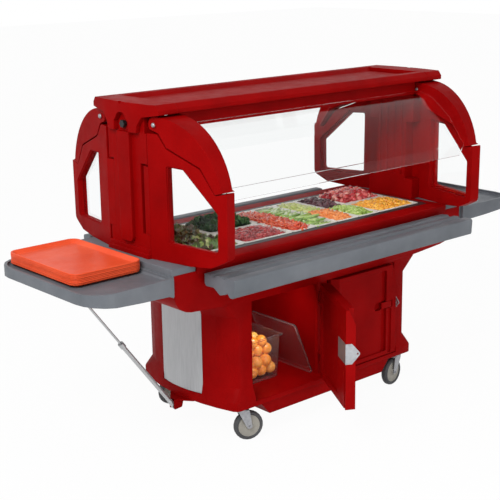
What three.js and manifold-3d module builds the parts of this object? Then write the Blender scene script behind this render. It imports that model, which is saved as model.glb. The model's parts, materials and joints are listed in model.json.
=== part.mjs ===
// A mobile salad bar: a moulded cabinet on casters that carries a cold well with food pans, tray
// rails, folding end shelves and a canopy with hinged food guards.
// Millimetres, +Z up, +X along the counter, -Y the side with the doors.
import * as THREE from "three";
import { mergeVertices } from "three/addons/utils/BufferGeometryUtils.js";
import Module from "manifold-3d";

const wasm = await Module();
wasm.setup();

// ---------------------------------------------------------------- driving dimensions
const gap = 0.4; // between pieces that touch
const wall = 24; // the double wall of the moulded cabinet

// casters
const wheelDiameter = 152;
const wheelWidth = 38;
const casterX = 572; // swivel axis from the middle
const casterY = 316;
const casterTrail = 33;
const casterHeight = 183; // floor to the cabinet's underside
const casterPlate = 6;
const casterBoss = 20; // radius of the plate's swivel boss
const casterAngles = { front_left: 21, front_right: 172, rear_left: 0, rear_right: 180 };

// cabinet, from the skirt up to the deck
const bodyFrontY = -345;
const bodyBackY = 380;
const bodyCornerX = 608; // half length at the corners
const bodyBowX = 712; // half length at the middle of the bowed ends
const skirtReach = 24; // the skirt stands out from the front and back faces
const skirtCornerX = 645;
const skirtHeight = 45;
const flareHeight = 62;
const neckZ = 655; // where the flare under the counter starts
const shoulderX = 700;
const shoulderZ = 740;
const bellX = 868; // where the cheek's quarter round starts
const bellZ = 754;
const cheekX = 1022; // end of the counter
const cheekLowZ = 877;
const cheekTopZ = 963;
const deckX = 893;
const deckTopZ = 995;
const deckDepth = 395; // half depth of the deck
const cheekDepth = 385; // half depth of the cheeks
const deckEdge = 45;
const fasciaTopX = 496; // deep box under the storage floor
const fasciaLowX = 419;
const fasciaLowZ = 112;

// storage compartments and doors
const storageFloorZ = 208;
const openingTopZ = 726;
const openingX = 522;
const storageX = 560;
const storageBackY = 345;
const mullionX = 34;
const doorThickness = 50;
const doorProud = 21; // closed doors stand this far in front of the cabinet
const doorClearance = 4;
const doorPinX = 20;
const doorPinRadius = 4;
const doorKnuckle = 7;
const doorHingeHeights = [300, 630];
const doorOpenAngle = 60; // how the left door stands
const doorLeafHeight = 40;
const doorBorder = 24;
const doorStile = 111; // border on the free side
const doorGroove = 32;
const doorPanelDepth = 8;
const latchZ = 500;
const latchHalf = 18; // half height of the paddle
const latchReach = 74;
const latchPinRadius = 2.5;

// cold well and pans
const panColumn = 325; // a full pan width
const panRow = 265;
const panColumns = 5;
const panDepth = 100;
const panCorner = 40;
const panSkin = 2.5;
const wellFrame = 30; // black frame around the pans
const wellDepth = 195;
const wellWall = 4;
const drainX = -70; // the drain comes down into the left compartment
const drainRadius = 16;

// tray rails
const railX = 854;
const railHingeY = 445;
const railHingeZ = 915;
const railPin = 5;
const railBracketX = [-620, 0, 620];
const railBracketWidth = 40;

// end shelves, their hooked root and the braces
const rootInnerX = 896;
const rootLeaf = 12;
const shelfEndX = 1490;
const shelfDepth = 415; // half depth at its outer end
const shelfNeck = 402; // half depth where it meets the cart
const shelfCorner = 170;
const shelfRimZ = 963;
const shelfFloorZ = 945;
const shelfRimWall = 14;
const shelfOuterLowZ = 905;
const shelfHingeZ = 874;
const shelfKnuckle = 6;
const braceFootX = 757;
const braceFootZ = 139;
const braceHeadX = 1313;
const braceHeadZ = 880;
const braceY = { left: 0, right: 160 };
const braceTubeLength = 515;
const braceTubeRadius = 11;
const braceRodRadius = 6;
const braceOverlap = 70;

// canopy, pillars, wings and guards
const canopyTopZ = 1722;
const canopyRecessZ = 1702;
const canopyRoof = 12;
const canopyHalf = 258;
const canopyX = 870;
const canopyEndX = 984;
const canopyBow = 28;
const pillarX = 984;
const pillarInnerX = 865;
const pillarTop = 160;
const pillarWaist = 108;
const wingEndX = 893; // outer edge of the angled wing
const wingEndY = 615;
const wingThickness = 55;
const paneSeat = 28; // how deep the side panes sit behind the wing's face
const wingTipZ = 1359;
const guardPivotY = 212;
const guardPivotZ = 1630;
const guardArcZ = 1288; // centre height of the arm's outer curve
const guardArcRadius = 378;
const armInnerX = 832;
const guardSheet = 6;
const sidePaneSheet = 5;
const guardPin = 8;

// loose ware
const trayCount = 7;
const trayX = [1050, 1434];
const trayY = [-196, 388];
const trayPitch = 8.6;
const binX = [-468, -178];
const binY = [-204, 100];
const binHeight = 236;
const binWall = 3;
const binRim = 9;
const lidY = [-283, 60];
const lidLength = lidY[1] - lidY[0];
const lidReach = 318;
const lidLip = 9; // how far its rim turns down
const lidFootX = -44; // the lid stands on the floor beside the mullion
const lidFootRun = 122; // and leans this far back over its height

// ---------------------------------------------------------------- shapes
const rad = THREE.MathUtils.degToRad;

// A closed geometry as a solid that can be cut and joined, with its faces turned outwards.
function toSolid(geometry) {
  const loose = geometry.index ? geometry.toNonIndexed() : geometry;
  const bare = new THREE.BufferGeometry().setAttribute("position", loose.getAttribute("position"));
  const merged = mergeVertices(bare, 1e-3);
  const corners = [];
  const index = merged.index.array;
  for (let i = 0; i < index.length; i += 3) {
    const [a, b, c] = [index[i], index[i + 1], index[i + 2]];
    if (a !== b && b !== c && c !== a) corners.push(a, b, c);
  }
  const vertProperties = merged.attributes.position.array;
  const build = (triVerts) => new wasm.Manifold(new wasm.Mesh({ numProp: 3, vertProperties, triVerts }));
  const solid = build(new Uint32Array(corners));
  return solid.volume() > 0 ? solid : build(new Uint32Array(corners.reverse()));
}

function toGeometry(solid) {
  const mesh = solid.getMesh();
  const geometry = new THREE.BufferGeometry();
  geometry.setAttribute("position", new THREE.BufferAttribute(new Float32Array(mesh.vertProperties), 3));
  geometry.setIndex(new THREE.BufferAttribute(new Uint32Array(mesh.triVerts), 1));
  const faceted = geometry.toNonIndexed();
  faceted.computeVertexNormals();
  return faceted;
}

const join = (...solids) => solids.flat().reduce((a, b) => a.add(b));
const cut = (solid, ...tools) => tools.flat().reduce((a, b) => a.subtract(b), solid);
const overlap = (a, b) => a.intersect(b);

function block(x0, x1, y0, y1, z0, z1) {
  const box = new THREE.BoxGeometry(Math.abs(x1 - x0), Math.abs(y1 - y0), Math.abs(z1 - z0));
  return toSolid(box.translate((x0 + x1) / 2, (y0 + y1) / 2, (z0 + z1) / 2));
}

// The outline with its corners rounded; a point's third number is its own radius.
function rounded(points, radius = 0, steps = 2) {
  const outline = [];
  points.forEach((point, i) => {
    const corner = new THREE.Vector2(point[0], point[1]);
    const r = point[2] ?? radius;
    const before = points[(i + points.length - 1) % points.length];
    const after = points[(i + 1) % points.length];
    const back = new THREE.Vector2(before[0], before[1]).sub(corner);
    const on = new THREE.Vector2(after[0], after[1]).sub(corner);
    if (r <= 0) {
      outline.push([corner.x, corner.y]);
      return;
    }
    const shortest = Math.min(back.length(), on.length());
    back.normalize();
    on.normalize();
    const half = Math.acos(THREE.MathUtils.clamp(back.dot(on), -1, 1)) / 2;
    const reach = Math.min(r / Math.tan(half), 0.48 * shortest);
    const arc = reach * Math.tan(half);
    const centre = back.clone().add(on).normalize().multiplyScalar(arc / Math.sin(half)).add(corner);
    const start = back.clone().multiplyScalar(reach).add(corner).sub(centre);
    const end = on.clone().multiplyScalar(reach).add(corner).sub(centre);
    const sweep = Math.atan2(start.cross(end), start.dot(end));
    for (let k = 0; k <= steps; k++) {
      const p = start.clone().rotateAround(new THREE.Vector2(), (sweep * k) / steps).add(centre);
      outline.push([p.x, p.y]);
    }
  });
  return outline;
}

const circle = (u, v, radius, sides = 16) =>
  Array.from({ length: sides }, (_, i) => {
    const turn = (2 * Math.PI * (i + 0.5)) / sides;
    return [u + radius * Math.cos(turn), v + radius * Math.sin(turn)];
  });

// Points on a circle about (u, v) from one angle to another, in degrees.
const arc = (u, v, radius, from, to, steps) =>
  Array.from({ length: steps + 1 }, (_, i) => {
    const turn = rad(from + ((to - from) * i) / steps);
    return [u + radius * Math.cos(turn), v + radius * Math.sin(turn)];
  });

const basis = {
  x: [new THREE.Vector3(0, 1, 0), new THREE.Vector3(0, 0, 1), new THREE.Vector3(1, 0, 0)],
  y: [new THREE.Vector3(1, 0, 0), new THREE.Vector3(0, 0, 1), new THREE.Vector3(0, -1, 0)],
  z: [new THREE.Vector3(1, 0, 0), new THREE.Vector3(0, 1, 0), new THREE.Vector3(0, 0, 1)],
};

// An outline carried along an axis: (y, z) along x, (x, z) along y, (x, y) along z.
function prism(axis, outline, from, to, holes = []) {
  const shape = new THREE.Shape(outline.map(([u, v]) => new THREE.Vector2(u, v)));
  holes.forEach((hole) => shape.holes.push(new THREE.Path(hole.map(([u, v]) => new THREE.Vector2(u, v)))));
  const body = new THREE.ExtrudeGeometry(shape, { depth: to - from, bevelEnabled: false });
  body.translate(0, 0, axis === "y" ? -to : from);
  return toSolid(body.applyMatrix4(new THREE.Matrix4().makeBasis(...basis[axis])));
}

const rod = (axis, u, v, radius, from, to, sides = 16) => prism(axis, circle(u, v, radius, sides), from, to);

function turned(profile, sides = 24) {
  const points = profile.map(([r, z]) => new THREE.Vector2(r, z));
  return toSolid(new THREE.LatheGeometry(points, sides).rotateX(Math.PI / 2));
}

// A skin carried from ring to ring, closed by the first ring and the last; all have as many points.
function loft(rings) {
  const n = rings[0].length;
  const positions = rings.flat(2);
  const index = [];
  for (let r = 0; r + 1 < rings.length; r++) {
    for (let i = 0; i < n; i++) {
      const [a, b] = [r * n + i, r * n + ((i + 1) % n)];
      index.push(a, b, b + n, a, b + n, a + n);
    }
  }
  const flat = (ring) => ring.map(([x, y]) => new THREE.Vector2(x, y));
  const last = (rings.length - 1) * n;
  for (const [a, b, c] of THREE.ShapeUtils.triangulateShape(flat(rings[0]), [])) index.push(a, c, b);
  for (const [a, b, c] of THREE.ShapeUtils.triangulateShape(flat(rings.at(-1)), [])) {
    index.push(last + a, last + b, last + c);
  }
  const geometry = new THREE.BufferGeometry();
  geometry.setAttribute("position", new THREE.BufferAttribute(new Float32Array(positions), 3));
  geometry.setIndex(index);
  return toSolid(geometry);
}

const atHeight = (outline, z) => outline.map(([x, y]) => [x, y, z]);
const mirrored = (points) => [...points, ...points.map(([u, v, r]) => [-u, v, r]).reverse()];

// A rectangle with round corners, always with the same number of points.
const roundRect = (x0, x1, y0, y1, radius, steps = 2) =>
  rounded([[x0, y0], [x1, y0], [x1, y1], [x0, y1]], radius, steps);

// ---------------------------------------------------------------- materials
const finish = (color, roughness, metalness = 0, opacity = 1) =>
  new THREE.MeshStandardMaterial({ color, roughness, metalness, opacity, transparent: opacity < 1 });

const redPlastic = finish("#9a1316", 0.42);
const greyPlastic = finish("#7b8085", 0.5);
const coralPlastic = finish("#ee5a35", 0.4);
const whitePlastic = finish("#f2f1ec", 0.35);
const blackPlastic = finish("#2b3033", 0.5);
const clearAcrylic = finish("#dfe6e8", 0.05, 0, 0.3);
const brushedSteel = finish("#9a9b9d", 0.35, 1);
const zincSteel = finish("#c5c5cc", 0.3, 1);
const tyreRubber = finish("#8b8880", 0.7);

const cart = new THREE.Group();

function put(name, solid, material, parent = cart, mirror = [1, 1]) {
  const mesh = new THREE.Mesh(toGeometry(solid), material);
  mesh.name = name;
  mesh.scale.set(mirror[0], mirror[1], 1);
  parent.add(mesh);
  return mesh;
}

const ends = [["left", -1], ["right", 1]];
const sides = [["front", -1], ["rear", 1]];

// ---------------------------------------------------------------- cabinet
const doorOuterY = bodyFrontY - doorProud;
const doorInnerY = doorOuterY + doorThickness;
const doorPinY = doorOuterY + doorThickness / 2 + 7;
const latchX = openingX - 42; // pin of the paddle
const latchPinY = doorOuterY + 6.5;
const bodyMidY = (bodyFrontY + bodyBackY) / 2;

// Plan of the cabinet at one level: straight front and back, bowed ends, rounded corners.
function cabinetPlan(cornerX, bowX, frontY, backY) {
  const half = (backY - frontY) / 2;
  const middle = (backY + frontY) / 2;
  const round = 22;
  const bowAt = (y) => bowX - (bowX - cornerX) * ((y - middle) / half) ** 2;
  const steps = 8;
  const end = [[cornerX - round, frontY], [cornerX - 0.3 * round, frontY + 0.25 * round]];
  for (let i = 0; i <= steps; i++) {
    const y = frontY + round + ((backY - frontY - 2 * round) * i) / steps;
    end.push([bowAt(y), y]);
  }
  end.push([cornerX - 0.3 * round, backY - 0.25 * round], [cornerX - round, backY]);
  return [...end, ...end.map(([x, y]) => [-x, y]).reverse()];
}

function cabinetLower() {
  const skirt = cabinetPlan(skirtCornerX, bodyBowX + 1, bodyFrontY - skirtReach, bodyBackY + skirtReach);
  const body = cabinetPlan(bodyCornerX, bodyBowX, bodyFrontY, bodyBackY);
  const shoulder = cabinetPlan(shoulderX, bodyBowX + 4, bodyFrontY, bodyBackY);
  const skirtTopZ = casterHeight + skirtHeight;
  return loft([
    atHeight(skirt, casterHeight),
    atHeight(skirt, skirtTopZ),
    atHeight(body, skirtTopZ + flareHeight),
    atHeight(body, neckZ),
    atHeight(shoulder, shoulderZ),
  ]);
}

// The counter: a bell that swells from the shoulders out to the cheeks, and front and back aprons.
function cabinetBell() {
  const quarter = [];
  const steps = 7;
  for (let i = 0; i <= steps; i++) {
    const turn = (Math.PI / 2) * (i / steps);
    quarter.push([
      bellX + (cheekX - bellX) * Math.sin(turn),
      cheekLowZ - (cheekLowZ - bellZ) * Math.cos(turn),
    ]);
  }
  const along = mirrored([[shoulderX, shoulderZ - 1], ...quarter, [cheekX, cheekTopZ]]);
  const apron = (y) => [[y, shoulderZ - 2], [y * 1.012, bellZ], [y + Math.sign(y) * 24, bellZ + 46]];
  const front = [...apron(bodyFrontY), [-cheekDepth, cheekLowZ], [-cheekDepth, cheekTopZ]];
  const back = [[cheekDepth, cheekTopZ], [cheekDepth, cheekLowZ], [bodyBackY + 2, bellZ], [bodyBackY, shoulderZ - 2]];
  return overlap(prism("y", along, -cheekDepth, cheekDepth), prism("x", [...front, ...back], -cheekX, cheekX));
}

const deckSection = () => mirrored([[deckDepth - 6, deckTopZ - deckEdge, 5], [deckDepth, deckTopZ, 10]]);

function storageCut() {
  const mouthY = bodyFrontY - 60;
  const behindDoor = doorInnerY + doorClearance;
  const mouth = block(-openingX, openingX, mouthY, behindDoor, storageFloorZ, openingTopZ);
  const rooms = [-1, 1].map((s) => {
    const room = rounded(
      [[s * 8, behindDoor + wall], [s * storageX, behindDoor + wall], [s * storageX, storageBackY], [s * 8, storageBackY]],
      20,
      2,
    );
    const throat = block(s * mullionX, s * openingX, behindDoor - 5, behindDoor + wall + 5, storageFloorZ, openingTopZ);
    return join(prism("z", room, storageFloorZ, openingTopZ), throat);
  });
  return [mouth, ...rooms];
}

// Lugs and fixed pins on the mullion that carry both doors.
function doorHinges() {
  const seatY = doorInnerY + doorClearance + 2;
  const lugHeight = 14;
  const reach = doorLeafHeight / 2;
  return doorHingeHeights.flatMap((z) => [
    ...[z - reach - lugHeight, z + reach].map((low) =>
      prism("z", roundRect(-doorPinX - 7, doorPinX + 7, doorPinY - 7, seatY, 5), low, low + lugHeight),
    ),
    ...[-1, 1].map((s) =>
      rod("z", s * doorPinX, doorPinY, doorPinRadius, z - reach - lugHeight + 1, z + reach + lugHeight - 1, 12),
    ),
  ]);
}

const wellHalfX = (panColumn * panColumns) / 2;
const wellHalfY = panRow;

function wellPocket() {
  const tub = block(
    -wellHalfX - 4, wellHalfX + 4, -wellHalfY - 10, wellHalfY + 10,
    deckTopZ - wellDepth - 8, deckTopZ + 5,
  );
  const frame = prism(
    "z",
    roundRect(-wellHalfX - wellFrame, wellHalfX + wellFrame, -wellHalfY - wellFrame - 4, wellHalfY + wellFrame + 4, 12),
    deckTopZ - 4,
    deckTopZ + 5,
  );
  const drain = rod("z", drainX, 0, drainRadius + 6, openingTopZ - 40, deckTopZ - wellDepth, 16);
  return [tub, frame, drain];
}

// Arms that reach out from the apron and carry a tray rail on its pin.
function railBrackets(side) {
  return railBracketX.map((x) => {
    const root = side * (cheekDepth - 8);
    const tip = side * railHingeY;
    const half = 12;
    const arm = rounded(
      [[root, railHingeZ - half - 8], [tip, railHingeZ - half], [tip, railHingeZ + half], [root, railHingeZ + half]],
    );
    const plate = join(
      prism("x", arm, x - railBracketWidth / 2, x + railBracketWidth / 2),
      rod("x", tip, railHingeZ, half, x - railBracketWidth / 2, x + railBracketWidth / 2, 16),
    );
    return cut(plate, rod("x", tip, railHingeZ, railPin + gap, x - railBracketWidth, x + railBracketWidth, 12));
  });
}

// A steel plate under the skirt with the boss that a caster swivels on.
function casterPlates() {
  return sides.flatMap(([, sy]) =>
    ends.map(([, sx]) => {
      const [x, y] = [sx * casterX, sy * casterY];
      const plate = prism("z", roundRect(x - 50, x + 50, y - 42, y + 42, 8), casterHeight - casterPlate, casterHeight + 1);
      return join(plate, rod("z", x, y, casterBoss, wheelDiameter + 14 + gap, casterHeight - casterPlate + 1));
    }),
  );
}

// Steel feet under the skirt that the shelf braces pivot on.
function braceFoot(s, y0) {
  const plateTop = casterHeight + 1;
  const inner = s * (bodyBowX - 40);
  const plate = prism(
    "z",
    [[inner, -95], [s * (bodyBowX - 8), -95], [s * (braceFootX + 4), -24], [s * (braceFootX + 4), 24],
      [s * (bodyBowX - 8), 95], [inner, 95]],
    casterHeight - 5,
    plateTop,
  );
  const ear = (y) =>
    prism("y", rounded([
      [s * (bodyBowX - 6), casterHeight - 3], [s * (bodyBowX + 8), braceFootZ - 8],
      [s * (braceFootX + 12), braceFootZ - 12], [s * (braceFootX + 12), casterHeight - 3],
    ], 6, 2), y, y + 5);
  const foot = join(plate, ear(-20), ear(15), rod("y", s * braceFootX, braceFootZ, 5, -22, 22, 12));
  return foot.translate([0, y0, 0]);
}

// Where a silver end panel lies on the bowed end.
function endPanelPlan(proud, depth, halfWidth) {
  const steps = 6;
  const half = (bodyBackY - bodyFrontY) / 2;
  const bowAt = (y) => bodyBowX - (bodyBowX - bodyCornerX) * ((y - bodyMidY) / half) ** 2;
  const outer = [];
  for (let i = 0; i <= steps; i++) {
    const y = -halfWidth + (2 * halfWidth * i) / steps;
    outer.push([bowAt(y) + proud, y]);
  }
  return [...outer, ...outer.map(([x, y]) => [x - depth, y]).reverse()];
}

const panelLowZ = casterHeight + skirtHeight + 4;
const panelHighZ = neckZ + 33;
const panelHalf = 155;
const panelProud = 1.5;

function cabinetBody() {
  const fascia = prism(
    "y",
    mirrored([[fasciaLowX, fasciaLowZ], [fasciaTopX, storageFloorZ - 6]]),
    bodyFrontY - 12,
    bodyBackY - 10,
  );
  const fasciaHollow = prism(
    "y",
    mirrored([[fasciaLowX - 18, fasciaLowZ - 1], [fasciaTopX - 55, casterHeight - 6]]),
    bodyFrontY + 6,
    bodyBackY - 28,
  );
  const deck = prism("x", rounded(deckSection()), -deckX, deckX);
  const shell = join(cabinetLower(), cabinetBell(), deck, fascia);
  const recess = ends.map(([, s]) => {
    const plan = endPanelPlan(40, 40 + 3 + gap, panelHalf + gap).map(([x, y]) => [s * x, y]);
    return prism("z", plan, panelLowZ - gap, panelHighZ + gap);
  });
  const open = cut(shell, storageCut(), wellPocket(), fasciaHollow, recess);
  return join(
    open,
    doorHinges(),
    sides.flatMap(([, s]) => railBrackets(s)),
    ends.map(([end, s]) => braceFoot(s, braceY[end])),
    casterPlates(),
  );
}

put("cabinet_body", cabinetBody(), redPlastic);

for (const [end, s] of ends) {
  const panel = prism("z", endPanelPlan(panelProud, panelProud + 3, panelHalf), panelLowZ, panelHighZ);
  put("end_panel_" + end, panel, brushedSteel, cart, [s, 1]);
}

// ---------------------------------------------------------------- doors
const doorHingeEdge = doorPinX + 17;
const doorFreeEdge = openingX - doorClearance + 1;
const doorLowZ = storageFloorZ + doorClearance;
const doorTopZ = openingTopZ - doorClearance - 1;

// A right-hand door, closed; the left one is its mirror.
function door() {
  const chamfer = doorThickness * 0.6;
  const plan = [
    [doorHingeEdge, doorInnerY], [doorFreeEdge, doorInnerY], [doorFreeEdge, doorOuterY],
    [doorHingeEdge + chamfer + 6, doorOuterY], [doorHingeEdge, doorOuterY + chamfer],
  ];
  const slab = prism("z", plan, doorLowZ, doorTopZ);
  const face = (outline, depth) => prism("y", outline, doorOuterY - 5, doorOuterY + depth);
  const [low, high] = [doorLowZ + doorBorder, doorTopZ - doorBorder];
  const panelEnd = doorFreeEdge - doorStile;
  const panel = face(roundRect(doorHingeEdge + doorBorder * 2, panelEnd, low, high, 8), doorPanelDepth);
  const groove = face(roundRect(panelEnd - 1, panelEnd + doorGroove, low, high, 6), doorPanelDepth * 2);
  const sill = panelEnd + doorGroove + 14;
  const lowGroove = face(roundRect(sill, sill + doorGroove - 6, doorLowZ + 8, latchZ - latchHalf - 6, 6), doorPanelDepth);
  const inside = prism(
    "y",
    roundRect(doorHingeEdge + 34, doorFreeEdge - 150, doorLowZ + 34, doorTopZ - 34, 10),
    doorInnerY - doorPanelDepth,
    doorInnerY + 5,
  );
  const insideGroove = prism("y", roundRect(doorFreeEdge - 26, doorFreeEdge - 10, doorLowZ - 9, latchZ - 70, 4), doorInnerY - 8, doorInnerY + 5);
  const cornerRamp = prism(
    "x",
    [[doorOuterY - 1, doorTopZ - 78], [doorOuterY - 1, doorTopZ + 1], [doorOuterY + 32, doorTopZ + 1]],
    doorFreeEdge - 35,
    doorFreeEdge + 1,
  );
  const fingerCup = face(roundRect(latchX - 128, latchX - 66, latchZ - latchHalf - 5, latchZ + latchHalf + 5, 20), doorThickness * 0.55);
  const latchSeat = face(
    roundRect(latchX - latchReach - 5, latchX + 9, latchZ - latchHalf - 2, latchZ + latchHalf + 2, 3), doorThickness * 0.45,
  );
  const latchPin = rod("z", latchX, latchPinY, latchPinRadius, latchZ - latchHalf - 4, latchZ + latchHalf + 4, 10);
  return join(
    cut(slab, panel, groove, lowGroove, inside, insideGroove, cornerRamp, fingerCup, latchSeat),
    doorHingeLeaves(),
    latchPin,
    padlockPlate(),
  );
}

// Two bored leaves that turn on the mullion's pins.
function doorHingeLeaves() {
  return doorHingeHeights.map((z) => {
    const half = doorLeafHeight / 2 - gap;
    const leaf = join(
      prism("z", roundRect(doorPinX, doorHingeEdge + 6, doorPinY - 6, doorPinY + 6, 1), z - half, z + half),
      rod("z", doorPinX, doorPinY, doorKnuckle, z - half, z + half, 14),
    );
    return cut(leaf, rod("z", doorPinX, doorPinY, doorPinRadius + gap, z - half - 1, z + half + 1, 12));
  });
}

// A steel plate folded round the free edge: its ear stands out in front with a padlock hole.
function padlockPlate() {
  const sheet = 2.2;
  const half = 52;
  const ear = rounded([
    [doorInnerY + sheet, latchZ - half], [doorInnerY + sheet, latchZ + half, 0], [doorOuterY + 19, latchZ + half, 4],
    [doorOuterY - 25, latchZ, 12], [doorOuterY + 19, latchZ - half, 4],
  ]);
  const hole = circle(doorOuterY - 9, latchZ, 4.5, 10);
  const edge = prism("x", ear, doorFreeEdge - 1, doorFreeEdge + sheet, [hole]);
  const back = block(doorFreeEdge - 128, doorFreeEdge + sheet, doorInnerY - 1, doorInnerY + sheet, latchZ - half, latchZ + half);
  return join(edge, back);
}

// A paddle that is pulled from behind its free edge and turns on a pin in the door.
function latch() {
  const [y0, y1] = [doorOuterY + 1, doorOuterY + 9];
  const paddle = rounded(
    [[latchX, y1 + 1], [latchX - latchReach + 6, y1], [latchX - latchReach, y1 + 6], [latchX - latchReach - 2, y0 + 4],
      [latchX - latchReach + 4, y0], [latchX, y0 - 0.5]],
    2,
  );
  const barrel = rod("z", latchX, latchPinY, latchPinRadius + 3.2, latchZ - latchHalf, latchZ + latchHalf, 12);
  const plate = prism("z", paddle, latchZ - latchHalf, latchZ + latchHalf);
  return cut(join(plate, barrel), rod("z", latchX, latchPinY, latchPinRadius + gap, latchZ - 40, latchZ + 40, 10));
}

for (const [end, s] of ends) {
  const swing = new THREE.Group();
  swing.position.set(s * doorPinX, doorPinY, 0);
  swing.rotation.z = rad(end === "left" ? doorOpenAngle : 0);
  const hung = new THREE.Group();
  hung.position.set(-s * doorPinX, -doorPinY, 0);
  swing.add(hung);
  cart.add(swing);
  put("door_" + end, door(), redPlastic, hung, [s, 1]);
  put("door_latch_" + end, latch(), redPlastic, hung, [s, 1]);
}

// ---------------------------------------------------------------- casters
function casterFork() {
  const wheelTop = wheelDiameter;
  const legInner = wheelWidth / 2 + 5;
  const leg = 4;
  const axleZ = wheelDiameter / 2;
  const cupTop = casterHeight - casterPlate - gap;
  const crownTop = wheelTop + 14;
  const cup = cut(
    rod("z", 0, 0, casterBoss + 9, crownTop - 1, cupTop),
    rod("z", 0, 0, casterBoss + gap, crownTop, cupTop + 1),
  );
  const crown = prism("z", roundRect(-30, 34, -legInner - leg, legInner + leg, 10), wheelTop + 6, crownTop);
  const legs = [-1, 1].map((s) => {
    const outline = rounded(
      [[-28, wheelTop + 14], [32, wheelTop + 14], [casterTrail + 15, axleZ - 10], [casterTrail - 12, axleZ - 10]],
      9,
      2,
    );
    const y = s * (legInner + leg / 2);
    return prism("y", outline, y - leg / 2, y + leg / 2);
  });
  const axle = rod("y", casterTrail, axleZ, 6, -legInner - leg - 6, legInner + leg + 6, 10);
  return join(crown, cup, legs, axle);
}

function casterWheel() {
  const sides = 24;
  const r = wheelDiameter / 2 / Math.cos(Math.PI / sides); // the tread's facets lie at the wheel's radius
  const w = wheelWidth / 2;
  const bore = 6 + gap;
  const half = [[bore, w + 2], [17, w + 2], [20, w - 6], [r - 19, w - 6], [r - 15, w], [r - 7, w - 1], [r, w - 10]];
  const profile = [...half, ...[...half].reverse().map(([a, b]) => [a, -b]), half[0]];
  return turned(profile, sides).rotate([90, 0, 0]).rotate([0, 180 / sides, 0]).translate([casterTrail, 0, wheelDiameter / 2]);
}

for (const [side, sy] of sides) {
  for (const [end, sx] of ends) {
    const caster = new THREE.Group();
    caster.position.set(sx * casterX, sy * casterY, 0);
    caster.rotation.z = -rad(casterAngles[side + "_" + end]);
    cart.add(caster);
    put("caster_fork_" + side + "_" + end, casterFork(), zincSteel, caster);
    put("caster_wheel_" + side + "_" + end, casterWheel(), tyreRubber, caster);
  }
}

// ---------------------------------------------------------------- cold well and pans
const columnX = (i) => (i - (panColumns - 1) / 2) * panColumn;
const longColumns = [2, 3]; // each holds two long pans side by side

function wellLiner() {
  const outer = [wellHalfX, wellHalfY + 7];
  const inner = [outer[0] - wellWall, outer[1] - wellWall];
  const floor = deckTopZ - wellDepth;
  const tub = cut(
    block(-outer[0], outer[0], -outer[1], outer[1], floor, deckTopZ),
    block(-inner[0], inner[0], -inner[1], inner[1], floor + wellWall, deckTopZ + 1),
  );
  const ledge = 11;
  const mouth = [
    [-wellHalfX + ledge, -wellHalfY + ledge], [wellHalfX - ledge, -wellHalfY + ledge],
    [wellHalfX - ledge, wellHalfY - ledge], [-wellHalfX + ledge, wellHalfY - ledge],
  ];
  const rim = roundRect(
    -wellHalfX - wellFrame + gap, wellHalfX + wellFrame - gap,
    -wellHalfY - wellFrame - 4 + gap, wellHalfY + wellFrame + 4 - gap, 12,
  );
  const frame = prism("z", rim, deckTopZ - 4 + gap, deckTopZ + 1, [mouth]);
  const bar = (x0, x1, y0, y1) => block(x0, x1, y0, y1, deckTopZ - 10, deckTopZ + 1);
  const drainLowZ = openingTopZ - 36;
  const bars = [];
  for (let i = 1; i < panColumns; i++) {
    const x = columnX(i) - panColumn / 2;
    bars.push(bar(x - ledge, x + ledge, -wellHalfY, wellHalfY));
  }
  for (let i = 0; i < panColumns; i++) {
    const x = columnX(i);
    bars.push(
      longColumns.includes(i)
        ? bar(x - ledge, x + ledge, -wellHalfY, wellHalfY)
        : bar(x - panColumn / 2, x + panColumn / 2, -ledge, ledge),
    );
  }
  const spout = rod("z", drainX, 0, drainRadius, drainLowZ, floor + 2, 16);
  const bore = rod("z", drainX, 0, drainRadius - 5, drainLowZ - 1, floor + wellWall + 1, 16);
  const stem = rod("y", drainX, drainLowZ + 16, 5, -drainRadius - 20, -drainRadius + 3, 10);
  const lever = prism("y", roundRect(drainX - 26, drainX + 8, drainLowZ + 10, drainLowZ + 22, 5), -drainRadius - 26, -drainRadius - 19);
  return cut(join(tub, frame, bars, spout, stem, lever), bore);
}

put("well_liner", wellLiner(), blackPlastic);

// A food pan: rim, straight flange and a body that narrows towards its rounded bottom.
function pan(width, length) {
  const rimZ = deckTopZ + 1 + gap;
  const low = rimZ - panDepth;
  const [hx, hy] = [width / 2 - gap, length / 2 - gap];
  const plan = (inset) => roundRect(-hx + inset, hx - inset, -hy + inset, hy - inset, panCorner - inset);
  const ring = (inset, z) => atHeight(plan(inset), z);
  const bowl = loft([
    ring(26, low), ring(20, low + 8), ring(14, rimZ + 1),
    ring(14 + panSkin, rimZ + 1), ring(20 + panSkin, low + 8), ring(26 + panSkin, low + panSkin),
  ]);
  const rim = prism("z", roundRect(-hx, hx, -hy, hy, 12), rimZ, rimZ + 3, [plan(14 + panSkin)]);
  return join(bowl, rim);
}

for (let i = 0; i < panColumns; i++) {
  const long = longColumns.includes(i);
  for (const [k, step] of [-0.5, 0.5].entries()) {
    const place = long ? ["left", "right"][k] : ["front", "rear"][k];
    const solid = long ? pan(panColumn / 2, 2 * panRow) : pan(panColumn, panRow);
    const mesh = put("food_pan_" + (i + 1) + "_" + place, solid, whitePlastic);
    mesh.position.set(columnX(i) + (long ? (step * panColumn) / 2 : 0), long ? 0 : step * panRow, 0);
  }
}

// ---------------------------------------------------------------- tray rails
// Section of a rail on the +Y side: three rounded ridges on top, a stepped and scalloped underside.
function railSection() {
  const innerY = deckDepth + 2;
  return rounded(
    [
      [innerY, 948, 3], [440, 950, 8], [452, 941, 5], [468, 941, 5], [480, 952, 8], [512, 954, 8],
      [524, 943, 5], [540, 943, 5], [552, 954, 8], [610, 955, 10], [606, 868, 12], [575, 866, 10],
      [560, 885, 8], [540, 874, 8], [505, 864, 12], [480, 880, 8], [462, 892, 6], [innerY + 10, 888, 8],
      [innerY, 900, 4],
    ],
  );
}

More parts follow.
